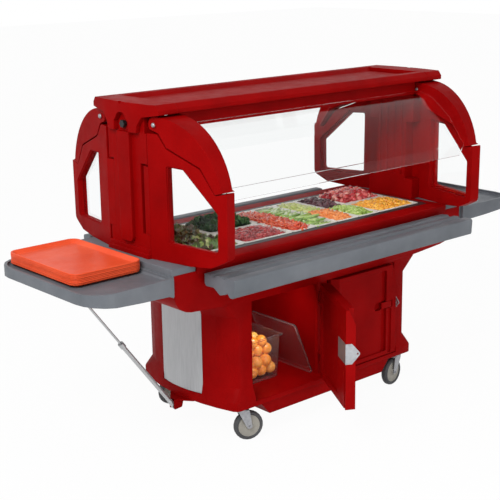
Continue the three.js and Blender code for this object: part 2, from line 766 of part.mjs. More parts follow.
function trayRail() {
  const bar = prism("x", railSection(), -railX, railX);
  const reach = 17;
  const tools = railBracketX.map((x) => {
    const half = railBracketWidth / 2 + 3;
    const slot = [
      [deckDepth - 10, 850], [railHingeY + reach, 850], [railHingeY + reach, railHingeZ + reach - 3],
      [deckDepth - 10, railHingeZ + reach - 3],
    ];
    return prism("x", rounded(slot, 0), x - half, x + half);
  });
  const pins = railBracketX.map((x) => {
    const half = railBracketWidth / 2 + 12;
    return rod("x", railHingeY, railHingeZ, railPin, x - half, x + half, 12);
  });
  return join(cut(bar, tools), pins);
}

for (const [side, s] of sides) put("tray_rail_" + side, trayRail(), greyPlastic, cart, [1, s]);

// ---------------------------------------------------------------- end shelves and braces
const leafX = cheekX + gap;
const shelfInnerX = leafX + rootLeaf + 0.6;
const shelfHingeX = shelfInnerX + shelfKnuckle;
const shelfLugs = [-300, 0, 300];
const shelfLugHalf = 16;
const undersideZ = (x) =>
  cheekLowZ + 1 + ((shelfOuterLowZ - cheekLowZ - 1) * (x - shelfInnerX)) / (shelfEndX - shelfInnerX);

// The fixed root: hooks over the cheek and carries the shelf's hinge.
function shelfRoot() {
  const hook = prism(
    "y",
    rounded([
      [rootInnerX, cheekTopZ + gap, 0], [leafX, cheekTopZ + gap, 0], [leafX, shelfHingeZ - 8, 0],
      [leafX + rootLeaf, shelfHingeZ - 8, 3], [leafX + rootLeaf, deckTopZ, 6], [rootInnerX, deckTopZ, 0],
    ]),
    -cheekDepth + 1,
    cheekDepth - 1,
  );
  const lugs = shelfLugs.map((y) =>
    join(
      block(leafX + 2, shelfHingeX, y - shelfLugHalf, y + shelfLugHalf, shelfHingeZ - 5, shelfHingeZ + 5),
      rod("y", shelfHingeX, shelfHingeZ, shelfKnuckle, y - shelfLugHalf, y + shelfLugHalf, 14),
    ),
  );
  const bore = rod("y", shelfHingeX, shelfHingeZ, 3 + gap, -cheekDepth, cheekDepth, 12);
  return cut(join(hook, lugs), bore);
}

function shelfPlan(inset) {
  const [x0, x1, y] = [shelfInnerX + inset, shelfEndX - inset, shelfDepth - inset];
  const neck = shelfNeck - inset;
  return rounded(
    [[x0, -neck], [x0 + 190, -y, 240], [x1, -y, shelfCorner - inset], [x1, y, shelfCorner - inset],
      [x0 + 190, y, 240], [x0, neck]],
    0,
    4,
  );
}

function endShelf(braceAt) {
  const low = shelfHingeZ - 40;
  const side = [
    [shelfInnerX, shelfHingeZ], [shelfHingeX, shelfHingeZ - shelfKnuckle], [shelfInnerX + 24, shelfHingeZ + 5],
    [shelfEndX - 130, undersideZ(shelfEndX - 130) - 2], [shelfEndX, shelfOuterLowZ + 6], [shelfEndX, shelfRimZ],
    [shelfInnerX, shelfRimZ],
  ];
  const solid = overlap(
    prism("z", shelfPlan(0), low, shelfRimZ),
    join(
      prism("y", rounded(side, 0), -shelfDepth - 1, shelfDepth + 1),
      rod("y", shelfHingeX, shelfHingeZ, shelfKnuckle, -cheekDepth + 4, cheekDepth - 4, 14),
    ),
  );
  const basin = loft([
    atHeight(shelfPlan(shelfRimWall + 6), shelfFloorZ),
    atHeight(shelfPlan(shelfRimWall), shelfFloorZ + 8),
    atHeight(shelfPlan(shelfRimWall), shelfRimZ + 2),
  ]);
  const skin = 9;
  const notches = shelfLugs.map((y) =>
    block(
      shelfInnerX - 5, shelfHingeX + shelfKnuckle + 2, y - shelfLugHalf - 1, y + shelfLugHalf + 1,
      shelfHingeZ - 20, shelfHingeZ + shelfKnuckle + 1,
    ),
  );
  const pins = shelfLugs.map((y) => rod("y", shelfHingeX, shelfHingeZ, 3, y - shelfLugHalf - 8, y + shelfLugHalf + 8, 12));
  const track = [-1, 1].map((s) => {
    const [x0, x1] = [braceHeadX - 78, braceHeadX + 52];
    const outline = rounded(
      [[x0, shelfFloorZ - skin + 1, 0], [x0, braceHeadZ - 12], [x0 + 12, braceHeadZ - 26],
        [x1 - 12, braceHeadZ - 26], [x1, braceHeadZ - 12], [x1, shelfFloorZ - skin + 1, 0]],
      4,
      2,
    );
    const slot = roundRect(braceHeadX - 60, braceHeadX + 38, braceHeadZ - 16, braceHeadZ + 20, 15);
    const y = s * (braceRodRadius + 9);
    return prism("y", outline, Math.min(y, y + s * 6), Math.max(y, y + s * 6), [slot]).translate([0, braceAt, 0]);
  });
  const channel = block(
    braceHeadX - 78, braceHeadX + 52, braceAt - braceRodRadius - 17, braceAt + braceRodRadius + 17, low, shelfFloorZ - skin,
  );
  return join(cut(solid, basin, notches, channel), pins, track);
}

const braceRun = new THREE.Vector2(braceHeadX - braceFootX, braceHeadZ - braceFootZ);
const braceLength = braceRun.length();
const braceLean = Math.atan2(braceRun.x, braceRun.y);

// Both brace pieces stand upright on their foot pivot here and are leaned over when placed.
function braceTube() {
  const start = 26;
  const tube = rod("z", 0, 0, braceTubeRadius, start, braceTubeLength, 16);
  const collar = rod("z", 0, 0, braceTubeRadius + 4, braceTubeLength - 26, braceTubeLength + 4, 16);
  const cap = join(
    rod("z", 0, 0, braceTubeRadius + 2, 14, 46, 16),
    prism("y", circle(0, 0, 13, 16), -9, 9),
    block(-9, 9, -9, 9, 0, 22),
  );
  const bore = rod("z", 0, 0, braceRodRadius + gap, 24, braceTubeLength + 10, 14);
  const eye = rod("y", 0, 0, 5 + gap, -20, 20, 12);
  return cut(join(tube, collar, cap), bore, eye);
}

function braceRod() {
  const rest = braceTubeLength - braceOverlap;
  const shaft = rod("z", 0, 0, braceRodRadius, rest, braceLength, 14);
  const pin = rod("y", 0, braceLength, 5, -braceRodRadius - 13, braceRodRadius + 13, 12);
  const eye = rod("y", 0, braceLength, 8, -7, 7, 14);
  return join(shaft, pin, eye);
}

for (const [end, s] of ends) {
  put("shelf_root_" + end, shelfRoot(), greyPlastic, cart, [s, 1]);
  put("end_shelf_" + end, endShelf(braceY[end]), greyPlastic, cart, [s, 1]);
  const brace = new THREE.Group();
  brace.position.set(s * braceFootX, braceY[end], braceFootZ);
  brace.rotation.y = s * braceLean;
  cart.add(brace);
  put("brace_tube_" + end, braceTube(), brushedSteel, brace);
  put("brace_rod_" + end, braceRod(), brushedSteel, brace);
}

// ---------------------------------------------------------------- canopy
function canopy() {
  const under = canopyRecessZ - canopyRoof;
  const half = [
    [165, canopyRecessZ], [190, canopyTopZ, 4], [234, canopyTopZ, 6], [canopyHalf, canopyTopZ - 24, 3],
    [canopyHalf, canopyTopZ - 44, 3], [228, canopyTopZ - 50], [208, canopyTopZ - 46], [190, under],
  ];
  const roof = prism("x", rounded(mirrored(half)), -canopyX, canopyX);
  const valance = [-1, 1].map((s) => {
    const [a, b] = [s * 190, s * 206];
    return prism("x", [[a, 1602], [b, 1600], [b, canopyTopZ - 40], [a, canopyTopZ - 24]], -armInnerX + 6, armInnerX - 6);
  });
  const tongue = block(-canopyEndX + 40, canopyEndX - 40, -150, 150, under, canopyRecessZ - gap);
  return join(roof, valance, tongue);
}

// An end cap: its roof laps over the canopy, its bowed face hangs down over the pillar.
function canopyCap() {
  const under = canopyRecessZ;
  const bow = (y) => canopyEndX + canopyBow * (1 - (y / canopyHalf) ** 2);
  const steps = 8;
  const rim = [];
  for (let i = 0; i <= steps; i++) {
    const y = -canopyHalf + (2 * canopyHalf * i) / steps;
    rim.push([bow(y), y]);
  }
  const plan = [[canopyX + gap, -canopyHalf], ...rim, [canopyX + gap, canopyHalf]];
  const profile = mirrored([
    [111, 1585, 3], [119, 1620, 6], [151, 1660, 20], [canopyHalf - 2, 1676], [canopyHalf, canopyTopZ - 42, 3],
    [canopyHalf, canopyTopZ - 24, 3], [236, canopyTopZ, 5],
  ]);
  const hood = overlap(prism("z", plan, 1500, 1800), prism("x", rounded(profile), canopyX, canopyEndX + canopyBow + 1));
  const hollow = prism(
    "x",
    mirrored([[240, 1500], [240, 1682], [222, under]]),
    canopyX - 1,
    canopyEndX + gap,
  );
  const knobArch = prism(
    "x",
    [[-57, 1500], [57, 1500], [57, 1630], ...arc(0, 1630, 44, 15, 165, 6), [-57, 1630]],
    canopyEndX - 1,
    canopyEndX + canopyBow + 5,
  );
  const notch = rod("x", 0, canopyTopZ + 2, 14, canopyEndX + 16, canopyEndX + canopyBow + 5, 12);
  return cut(hood, hollow, knobArch, notch);
}

put("canopy", canopy(), redPlastic);
for (const [end, s] of ends) put("canopy_cap_" + end, canopyCap(), redPlastic, cart, [s, 1]);

function knob() {
  const x = pillarX + gap;
  const grip = prism("x", knobOutline(), x + 5, x + 21);
  const washer = rod("x", 0, 1617, 15, x, x + 6, 16);
  return join(grip, washer);
}

// Six finger lobes around the rim.
function knobOutline() {
  const lobes = 6;
  return Array.from({ length: lobes * 6 }, (_, i) => {
    const turn = (2 * Math.PI * i) / (lobes * 6);
    const r = 17 + 2.2 * Math.cos(lobes * turn);
    return [r * Math.cos(turn), 1617 + r * Math.sin(turn)];
  });
}

for (const [end, s] of ends) put("canopy_knob_" + end, knob(), blackPlastic, cart, [s, 1]);

// ---------------------------------------------------------------- pillars
const pillarFootZ = deckTopZ + gap;
const keyLowZ = 1108; // the wings key into the pillar between these heights
const keyHighZ = 1434;
const bandHalf = 48;
const bandProud = 19;
const seamWidth = 16;
const seamDepth = 24;

function pillar() {
  const top = canopyRecessZ - canopyRoof - gap;
  const skirtTop = 1585;
  const front = mirrored([
    [164, pillarFootZ], [164, keyLowZ], [pillarWaist, keyLowZ], [pillarWaist, keyHighZ], [pillarTop, keyHighZ],
    [pillarTop, skirtTop], [146, skirtTop], [146, top],
  ]);
  const post = prism("x", front, pillarInnerX, pillarX);
  const band = prism("x", rounded([
    [-bandHalf, skirtTop - 3, 0], [-bandHalf, pillarFootZ + 62, 26], [bandHalf, pillarFootZ + 62, 26],
    [bandHalf, skirtTop - 3, 0],
  ], 0, 4), pillarX - 2, pillarX + bandProud);
  const flange = [
    prism("z", roundRect(pillarInnerX + 10, pillarX + 18, -164, 164, 6), pillarFootZ, pillarFootZ + 20),
    prism("z", roundRect(pillarInnerX + 10, pillarX + 10, -158, 158, 6), pillarFootZ + 19, pillarFootZ + 42),
  ];
  // Dark grooves that set the pillar off from the wings.
  const groove = (y0, y1, z0, z1) => block(pillarX - seamDepth, pillarX + 1, y0, y1, z0, z1);
  const grooves = [
    groove(pillarTop - seamWidth, pillarTop + 1, keyHighZ + 8, skirtTop + 2),
    groove(pillarWaist - 1, pillarTop + 1, keyHighZ - 1, keyHighZ + 8),
    groove(-pillarTop - 1, 1 - pillarWaist, keyHighZ - 1, keyHighZ + 8),
    groove(164 - seamWidth, 165, pillarFootZ + 42, keyLowZ + 1),
  ];
  const flutes = [-80, -27, 27, 80].map((y) =>
    prism("z", [[pillarInnerX - 1, y - 12], [pillarInnerX + 9, y - 6], [pillarInnerX + 9, y + 6], [pillarInnerX - 1, y + 12]],
      keyLowZ + 20, skirtTop - 40),
  );
  const ears = [-1, 1].map((s) => {
    const [x0, x1] = [895, 923];
    const y = s * guardPivotY;
    const ear = join(
      prism("x", [[s * 140, guardPivotZ - 22], [y, guardPivotZ - 20], [y, guardPivotZ + 20], [s * 140, guardPivotZ + 22]], x0, x1),
      rod("x", y, guardPivotZ, 21, x0, x1, 18),
    );
    return cut(ear, rod("x", y, guardPivotZ, guardPin + gap, x0 - 1, x1 + 1, 14));
  });
  return join(cut(join(post, flange), flutes, grooves), band, ears);
}

for (const [end, s] of ends) put("pillar_" + end, pillar(), redPlastic, cart, [s, 1]);

// ---------------------------------------------------------------- wings and side panes
// A wing lies in an upright plane that leans in from the pillar's edge to (wingEndX, wingEndY).
const wingStart = new THREE.Vector2(pillarX, pillarTop);
const wingRun = new THREE.Vector2(wingEndX, wingEndY).sub(wingStart);
const wingTurn = Math.atan2(-wingRun.x, wingRun.y);
const alongWing = (y) => (y - pillarTop) / Math.cos(wingTurn);

// An (outward distance, height) outline on the +Y wing's plane, carried from one depth to another.
function onWing(outline, from, to, holes = []) {
  const points = (list) => list.map(([y, z]) => [alongWing(y), z]);
  return prism("x", points(outline), from, to, holes.map(points))
    .rotate([0, 0, (wingTurn * 180) / Math.PI])
    .translate([pillarX, pillarTop, 0]);
}

const windowOutline = (grow) =>
  rounded([
    [276 - grow, 1442 + grow, 10], [366 + grow * 0.4, 1438 + grow, 10], [558 + grow, 1258 + grow * 0.6, 12],
    [556 + grow, 1080 - grow, 14], [279 - grow, 1088 - grow, 14],
  ], 0, 2);

function wing(grooved) {
  const outline = rounded([
    [163, pillarFootZ, 0], [400, pillarFootZ, 0], [520, 1006, 30], [wingEndY - 2, 1052, 26], [wingEndY, wingTipZ - 1.5, 4],
    [547, 1342, 6], [464, 1451, 14], [272, 1525, 10], [236, 1572, 8], [222, 1588, 6], [163, 1588, 0],
  ]);
  const plate = onWing(outline, -wingThickness, 0, [windowOutline(0)]);
  const key = block(
    pillarX - wingThickness, pillarX, pillarWaist + gap, pillarTop + 8, keyLowZ + gap, keyHighZ - gap,
  );
  const rebate = onWing(windowOutline(16), -wingThickness - 5, -paneSeat);
  const bevel = onWing(windowOutline(5), -5, 5);
  const groove = grooved
    ? [block(pillarX - seamDepth, pillarX + 1, pillarWaist, pillarWaist + 22, keyLowZ, keyHighZ)]
    : [];
  const waistCut = block(pillarInnerX - 60, pillarX + 30, 60, pillarTop + gap, pillarFootZ - 20, keyLowZ + gap);
  const topCut = block(pillarInnerX - 60, pillarX + 30, 60, pillarTop + gap, keyHighZ - gap, 1700);
  const footCut = block(pillarInnerX - 60, pillarX + 30, 60, 164 + gap + 0.3, pillarFootZ - 20, keyLowZ + gap);
  return cut(join(plate, key), rebate, bevel, waistCut, topCut, footCut, groove);
}

function sidePane() {
  return onWing(windowOutline(15), -paneSeat - gap - sidePaneSheet, -paneSeat - gap);
}

for (const [side, sy] of sides) {
  for (const [end, sx] of ends) {
    put("wing_" + side + "_" + end, wing(side === "front"), redPlastic, cart, [sx, sy]);
    put("side_pane_" + side + "_" + end, sidePane(), clearAcrylic, cart, [sx, sy]);
  }
}

// ---------------------------------------------------------------- hinged food guards
function guardArm() {
  const pivot = [guardPivotY, guardPivotZ];
  const heel = 38;
  const outer = arc(guardPivotY, guardArcZ, guardArcRadius, 86, 12, 14);
  const outline = [
    ...arc(...pivot, heel, 215, 95, 6), ...outer, [598, wingTipZ + 1], [548, 1346], [469, 1457], [276, 1531],
    [243, 1577], [232, 1592],
  ];
  const plan = [
    [armInnerX, 120], [pillarX + 2, 120], [pillarX, pillarTop], [wingEndX, wingEndY], [armInnerX, wingEndY],
  ];
  const arm = overlap(prism("x", outline, armInnerX, pillarX + 2), prism("z", plan, 1300, 1720));
  const [x0, x1] = [892, 926];
  const slot = join(
    rod("x", ...pivot, 25, x0, x1, 18),
    block(x0, x1, 100, guardPivotY, guardPivotZ - 60, guardPivotZ + 60),
  );
  const headX = pillarX - 0.2 * (guardPivotY - pillarTop);
  const pin = rod("x", ...pivot, guardPin, armInnerX + 20, headX + 2, 14);
  const head = rod("x", ...pivot, 13, headX - 4, headX + 5, 12);
  return join(cut(arm, slot), pin, head);
}

// The clear sheet between two arms, with its crisp bends.
function guardPane() {
  const line = [[235, 1623], [328, 1594], [450, 1497], [551, 1363], [527, 1298]];
  const inner = offsetLine(line, guardSheet);
  return prism("x", [...line, ...inner.reverse()], -armInnerX + gap, armInnerX - gap);
}

// A polyline moved sideways by a distance, mitred at its bends.
function offsetLine(line, distance) {
  const points = line.map(([u, v]) => new THREE.Vector2(u, v));
  const normals = points.slice(1).map((p, i) => {
    const along = p.clone().sub(points[i]).normalize();
    return new THREE.Vector2(along.y, -along.x);
  });
  return points.map((p, i) => {
    const a = normals[Math.max(i - 1, 0)];
    const b = normals[Math.min(i, normals.length - 1)];
    const mitre = a.clone().add(b).normalize();
    const q = p.clone().addScaledVector(mitre, distance / mitre.dot(a));
    return [q.x, q.y];
  });
}

for (const [side, sy] of sides) {
  for (const [end, sx] of ends) put("guard_arm_" + side + "_" + end, guardArm(), redPlastic, cart, [sx, sy]);
  put("guard_pane_" + side, guardPane(), clearAcrylic, cart, [1, sy]);
}

// ---------------------------------------------------------------- trays and fruit bin
function trayStack() {
  const [x0, x1] = trayX;
  const [y0, y1] = trayY;
  const ring = (inset, z) => atHeight(roundRect(x0 + inset, x1 - inset, y0 + inset, y1 - inset, 42 - inset / 2), z);
  const low = shelfFloorZ + gap;
  const rings = [ring(16, low), ring(6, low + 6)];
  for (let i = 0; i < trayCount; i++) {
    const z = low + 8 + i * trayPitch;
    rings.push(ring(0, z), ring(4, z + trayPitch - 2));
  }
  const top = low + 8 + trayCount * trayPitch;
  rings.push(ring(6, top - 3), ring(14, top - 16));
  return loft(rings);
}

put("tray_stack", trayStack(), coralPlastic, cart, [-1, 1]);

// A clear food bin on the storage floor, and its lid, which leans between its rim and the mullion.
function fruitBin() {
  const [x0, x1] = binX;
  const [y0, y1] = binY;
  const low = storageFloorZ + gap;
  const ring = (inset, z, radius) =>
    atHeight(roundRect(x0 + inset, x1 - inset, y0 + inset, y1 - inset, radius), z);
  const taper = binRim + 10;
  return loft([
    ring(taper, low, 22),
    ring(binRim, low + binHeight - 14, 22),
    ring(binRim, low + binHeight - 8, 22),
    ring(0, low + binHeight - 8, 12),
    ring(0, low + binHeight, 12),
    ring(binRim + binWall, low + binHeight, 20),
    ring(taper + binWall, low + binWall, 20),
  ]);
}

// The lid lies flat here: a raised panel inside a turned-down rim.
function binLid() {
  const [hx, hy] = [lidReach / 2, lidLength / 2];
  const ring = (inset, z, radius) => atHeight(roundRect(-hx + inset, hx - inset, -hy + inset, hy - inset, radius), z);
  return loft([
    ring(26, 4, 14), ring(22, 0, 14), ring(6, 0, 14), ring(4, -lidLip, 14), ring(0, -lidLip, 14), ring(0, 3, 12),
    ring(19, 3, 14), ring(23, 7, 14),
  ]);
}

put("fruit_bin", fruitBin(), clearAcrylic);

const lidLean = Math.acos(lidFootRun / lidReach);
const lidCentre = (lidReach / 2) * Math.sin(lidLean) + lidLip * Math.cos(lidLean);
const leaningLid = new THREE.Group();
leaningLid.position.set(lidFootX - lidFootRun / 2, (lidY[0] + lidY[1]) / 2, storageFloorZ + gap + lidCentre);
leaningLid.rotation.y = lidLean;
cart.add(leaningLid);
put("fruit_bin_lid", binLid(), clearAcrylic, leaningLid);

// ---------------------------------------------------------------- frame
// The origin lies on the floor under the middle of the object as it stands, its left door open.
const box = new THREE.Box3().setFromObject(cart, true);
cart.position.y = -(box.min.y + box.max.y) / 2;

const saladBar = new THREE.Group();
saladBar.add(cart);
export default saladBar;
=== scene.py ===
"""Mobile salad bar: the finishes, food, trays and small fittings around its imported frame.

Moulded pieces are copies of the frame's nodes with the soft edges that a rotational mould gives.
Food, trays and fittings are surfaces worked out with numpy, in metres, in the frame's own axes.
"""

import json
import math

import bmesh
import bpy
import numpy as np
from mathutils import Matrix, Vector

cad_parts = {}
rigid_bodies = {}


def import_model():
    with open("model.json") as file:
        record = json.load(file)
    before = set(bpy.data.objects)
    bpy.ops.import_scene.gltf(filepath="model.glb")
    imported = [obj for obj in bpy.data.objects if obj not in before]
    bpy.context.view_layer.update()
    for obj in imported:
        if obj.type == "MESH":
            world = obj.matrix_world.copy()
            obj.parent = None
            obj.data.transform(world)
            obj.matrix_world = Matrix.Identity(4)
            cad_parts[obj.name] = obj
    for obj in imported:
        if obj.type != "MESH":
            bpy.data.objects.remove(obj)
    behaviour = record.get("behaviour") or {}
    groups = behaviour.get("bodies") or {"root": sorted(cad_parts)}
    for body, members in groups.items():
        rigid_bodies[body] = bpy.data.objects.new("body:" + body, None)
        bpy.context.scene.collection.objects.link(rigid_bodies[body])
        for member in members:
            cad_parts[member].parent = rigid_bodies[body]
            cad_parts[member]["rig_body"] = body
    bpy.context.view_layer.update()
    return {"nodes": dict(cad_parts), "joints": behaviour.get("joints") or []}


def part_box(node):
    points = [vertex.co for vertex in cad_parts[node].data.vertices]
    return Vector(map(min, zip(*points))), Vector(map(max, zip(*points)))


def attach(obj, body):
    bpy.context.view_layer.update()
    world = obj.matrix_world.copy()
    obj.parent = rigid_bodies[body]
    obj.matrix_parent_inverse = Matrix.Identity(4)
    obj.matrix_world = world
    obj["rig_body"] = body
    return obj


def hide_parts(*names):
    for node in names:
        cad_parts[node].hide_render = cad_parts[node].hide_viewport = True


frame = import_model()
nodes = frame["nodes"]
joints = {joint["name"]: joint for joint in frame["joints"]}
rng = np.random.default_rng(11)

canopy_low, canopy_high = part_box("canopy")
MIDDLE_Y = (canopy_low.y + canopy_high.y) / 2  # the bar's long middle plane

ENDS = (("left", -1), ("right", 1))
SIDES = (("front", -1), ("rear", 1))

# The camera solved from the photograph: turns in degrees, place in metres, focal length in mm.
CAMERA_TURNS = (41.181, -14.934, -0.838)
CAMERA_PLACE = (-3.99725, MIDDLE_Y - 4.31177, 2.39344)
CAMERA_FOCAL = 81.33


# ---------------------------------------------------------------- camera
def place_camera():
    """The photograph's viewpoint: 15 degrees down, from the front left."""
    yaw, pitch, roll = (math.radians(angle) for angle in CAMERA_TURNS)
    ahead = Vector((math.sin(yaw) * math.cos(pitch), math.cos(yaw) * math.cos(pitch), math.sin(pitch)))
    right = ahead.cross(Vector((0, 0, 1))).normalized()
    above = right.cross(ahead)
    right, above = (
        right * math.cos(roll) + above * math.sin(roll),
        above * math.cos(roll) - right * math.sin(roll),
    )
    camera = bpy.data.objects.new("camera", bpy.data.cameras.new("camera"))
    rows = [[*row, place] for row, place in zip(zip(right, above, -ahead), CAMERA_PLACE)]
    camera.matrix_world = Matrix([*rows, [0, 0, 0, 1]])
    camera.data.sensor_width = 36
    camera.data.lens = CAMERA_FOCAL
    camera.data.clip_end = 100
    bpy.context.scene.collection.objects.link(camera)
    bpy.context.scene.camera = camera


# ---------------------------------------------------------------- materials
def linear(sheet_colour):
    """sRGB hex to linear red, green, blue and 1."""
    channels = [int(sheet_colour[i : i + 2], 16) / 255 for i in (1, 3, 5)]
    return (*[c / 12.92 if c <= 0.04045 else ((c + 0.055) / 1.055) ** 2.4 for c in channels], 1.0)


def add(tree, kind, inputs=(), **settings):
    """Adds a node, sets its properties, and sets or links its inputs."""
    node = tree.nodes.new(kind)
    for key, value in settings.items():
        setattr(node, key, value)
    for key, value in dict(inputs).items():
        if isinstance(value, bpy.types.NodeSocket):
            tree.links.new(value, node.inputs[key])
        else:
            node.inputs[key].default_value = value
    return node


def new_material(name, **surface):
    """A material with its shader node, its Object coordinates, and the shader's own values."""
    material = bpy.data.materials.new(name)
    material.use_nodes = True
    tree = material.node_tree
    tree.nodes.clear()
    shader = add(tree, "ShaderNodeBsdfPrincipled", surface)
    add(tree, "ShaderNodeOutputMaterial", {"Surface": shader.outputs[0]})
    place = add(tree, "ShaderNodeTexCoord").outputs["Object"]
    return material, tree, shader, place


def ramp(tree, factor, stops):
    """A colour ramp through (position, hex) stops."""
    node = add(tree, "ShaderNodeValToRGB", {"Fac": factor})
    while len(node.color_ramp.elements) < len(stops):
        node.color_ramp.elements.new(0.5)
    for element, (position, sheet_colour) in zip(node.color_ramp.elements, stops):
        element.position = position
        element.color = linear(sheet_colour)
    return node.outputs["Color"]


def noise(tree, place, size_mm, detail=3.0, roughness=0.55):
    """Noise whose lumps are about size_mm across."""
    inputs = {"Vector": place, "Scale": 1000 / size_mm, "Detail": detail, "Roughness": roughness}
    return add(tree, "ShaderNodeTexNoise", inputs).outputs["Fac"]


def bumpy(tree, shader, height, depth_mm, strength=1.0, soft_mm=0.0):
    """Raises the surface by height, depth_mm at most, over edges softened by soft_mm."""
    inputs = {"Height": height, "Distance": depth_mm / 1000, "Strength": strength}
    if soft_mm:
        inputs["Normal"] = add(tree, "ShaderNodeBevel", {"Radius": soft_mm / 1000}, samples=6).outputs[0]
    bump = add(tree, "ShaderNodeBump", inputs)
    tree.links.new(bump.outputs[0], shader.inputs["Normal"])


def spread(tree, factor, low, high):
    """Maps noise, which keeps to about 0.3 to 0.7, to low to high."""
    inputs = {"Value": factor, "From Min": 0.3, "From Max": 0.7, "To Min": low, "To Max": high}
    node = add(tree, "ShaderNodeMapRange", inputs)
    return node.outputs["Result"]


def polyethylene(name, dark, mid, light, rough, shine=0.3, soft_mm=3.0):
    """Rotationally moulded polyethylene: a satin skin with fine orange peel.

    Its colour is slightly uneven, and handling has left dull patches.
    """
    material, tree, shader, place = new_material(name, **{"IOR": 1.51, "Specular IOR Level": shine})
    colour = ramp(tree, noise(tree, place, 240, 5.0), [(0.3, dark), (0.52, mid), (0.75, light)])
    tree.links.new(colour, shader.inputs["Base Color"])
    patches = noise(tree, place, 70, 6.0, 0.7)
    tree.links.new(spread(tree, patches, rough - 0.07, rough + 0.1), shader.inputs["Roughness"])
    peel = noise(tree, place, 5, 2.0)  # real peel is about 2 mm: drawn at 5 mm so that it shows
    bumpy(tree, shader, peel, 0.35, 0.5, soft_mm)
    return material


def bare_metal(name, colour, rough, grain_mm, along, metallic=0.85):
    """Rolled or brushed metal: grain stretched along one axis (0 to 2) breaks highlights into streaks."""
    material, tree, shader, place = new_material(name, **{"Metallic": metallic})
    stretch = [1.0, 1.0, 1.0]
    stretch[along] = 0.03
    grained = add(tree, "ShaderNodeMapping", {"Vector": place, "Scale": stretch}).outputs[0]
    grain = noise(tree, grained, grain_mm, 3.0)
    tree.links.new(ramp(tree, grain, [(0.3, colour[0]), (0.7, colour[1])]), shader.inputs["Base Color"])
    tree.links.new(spread(tree, grain, rough - 0.06, rough + 0.1), shader.inputs["Roughness"])
    bumpy(tree, shader, grain, 0.08, 0.3)
    return material


def clear_sheet(name, tint, rough=0.03, haze=0.0):
    """Clear acrylic or polycarbonate: it lets shadow rays through, and its edges gather its tint."""
    material, tree, shader, place = new_material(
        name, **{"Base Color": linear(tint), "IOR": 1.15, "Transmission Weight": 1.0 - haze, "Roughness": rough}
    )
    through = add(tree, "ShaderNodeBsdfTransparent", {"Color": linear("#F6F8F9")})
    shadow = add(tree, "ShaderNodeLightPath").outputs["Is Shadow Ray"]
    mixed = add(tree, "ShaderNodeMixShader", {0: shadow, 1: shader.outputs[0], 2: through.outputs[0]})
    output = next(node for node in tree.nodes if node.type == "OUTPUT_MATERIAL")
    tree.links.new(mixed.outputs[0], output.inputs["Surface"])
    bumpy(tree, shader, noise(tree, place, 160, 1.0), 0.25, 0.15)
    return material


def fresh(name, tones, rough=0.35, wet=0.4, lump_mm=7.0, lump_depth=0.8, soft=0.12):
    """Cut vegetables or fruit: a tone for each piece, mottled skin, and a wet film over soft flesh."""
    material, tree, shader, place = new_material(
        name,
        **{
            "Roughness": rough,
            "Coat Weight": wet,
            "Coat Roughness": 0.12,
            "Subsurface Weight": soft,
            "Subsurface Scale": 0.004,
            "Subsurface Radius": (1.0, 0.5, 0.3),
        },
    )
    own = add(tree, "ShaderNodeAttribute", attribute_name="tone").outputs["Fac"]
    mottle = spread(tree, noise(tree, place, lump_mm, 3.0), -0.12, 0.12)
    mixed = add(tree, "ShaderNodeMath", {0: own, 1: mottle}, operation="ADD").outputs[0]
    stops = [(i / (len(tones) - 1), tone) for i, tone in enumerate(tones)]
    tree.links.new(ramp(tree, mixed, stops), shader.inputs["Base Color"])
    bumpy(tree, shader, noise(tree, place, lump_mm, 3.0), lump_depth, 0.6)
    return material


red_polyethylene = polyethylene("red_polyethylene", "#800203", "#8C0304", "#960506", 0.5, 0.03, 5.0)
grey_polyethylene = polyethylene("grey_polyethylene", "#5A5F64", "#65696F", "#707479", 0.45, 0.25, 4.0)
brushed_aluminium = bare_metal("brushed_aluminium_sheet", ("#A2A3A5", "#B8B9BB"), 0.38, 3.0, 2, 0.6)
strut_aluminium = bare_metal("anodised_strut", ("#A6A7A8", "#C2C3C4"), 0.32, 2.0, 2)
zinc_steel = bare_metal("zinc_plated_steel", ("#8F9094", "#A4A5A8"), 0.36, 14.0, 1, 0.7)
dark_well_metal = bare_metal("dark_well_frame", ("#24292B", "#343B3E"), 0.42, 4.0, 0, 0.4)
coral_fibreglass = polyethylene("coral_fibreglass", "#E04E2A", "#EA5732", "#F0633C", 0.36, 0.1)
pan_polycarbonate = polyethylene("pan_polycarbonate", "#D2D0C8", "#DCDAD2", "#E6E4DC", 0.3)
black_nylon = polyethylene("black_nylon", "#0E0E10", "#151517", "#1D1D20", 0.4)
rubber_tread = polyethylene("rubber_tread", "#3A3A3C", "#474749", "#545456", 0.62)
wheel_hub_plastic = polyethylene("wheel_hub_plastic", "#85827A", "#96938A", "#A5A299", 0.5)
clear_acrylic = clear_sheet("clear_acrylic", "#FCFDFD", 0.01)
clear_bin_plastic = clear_sheet("clear_bin_polycarbonate", "#F2E9E8", 0.03, 0.02)


# ---------------------------------------------------------------- meshes
def piece(name, points, faces, material, body="cart", slot=None, tones=None, sharp=40):
    """A mesh of points (n, 3) and faces (lists of point numbers), riding on a body."""
    corners = np.concatenate([np.asarray(face, np.int32) for face in faces])
    sizes = np.array([len(face) for face in faces], np.int32)
    return surface(name, points, corners, sizes, material, body, slot, tones, sharp)


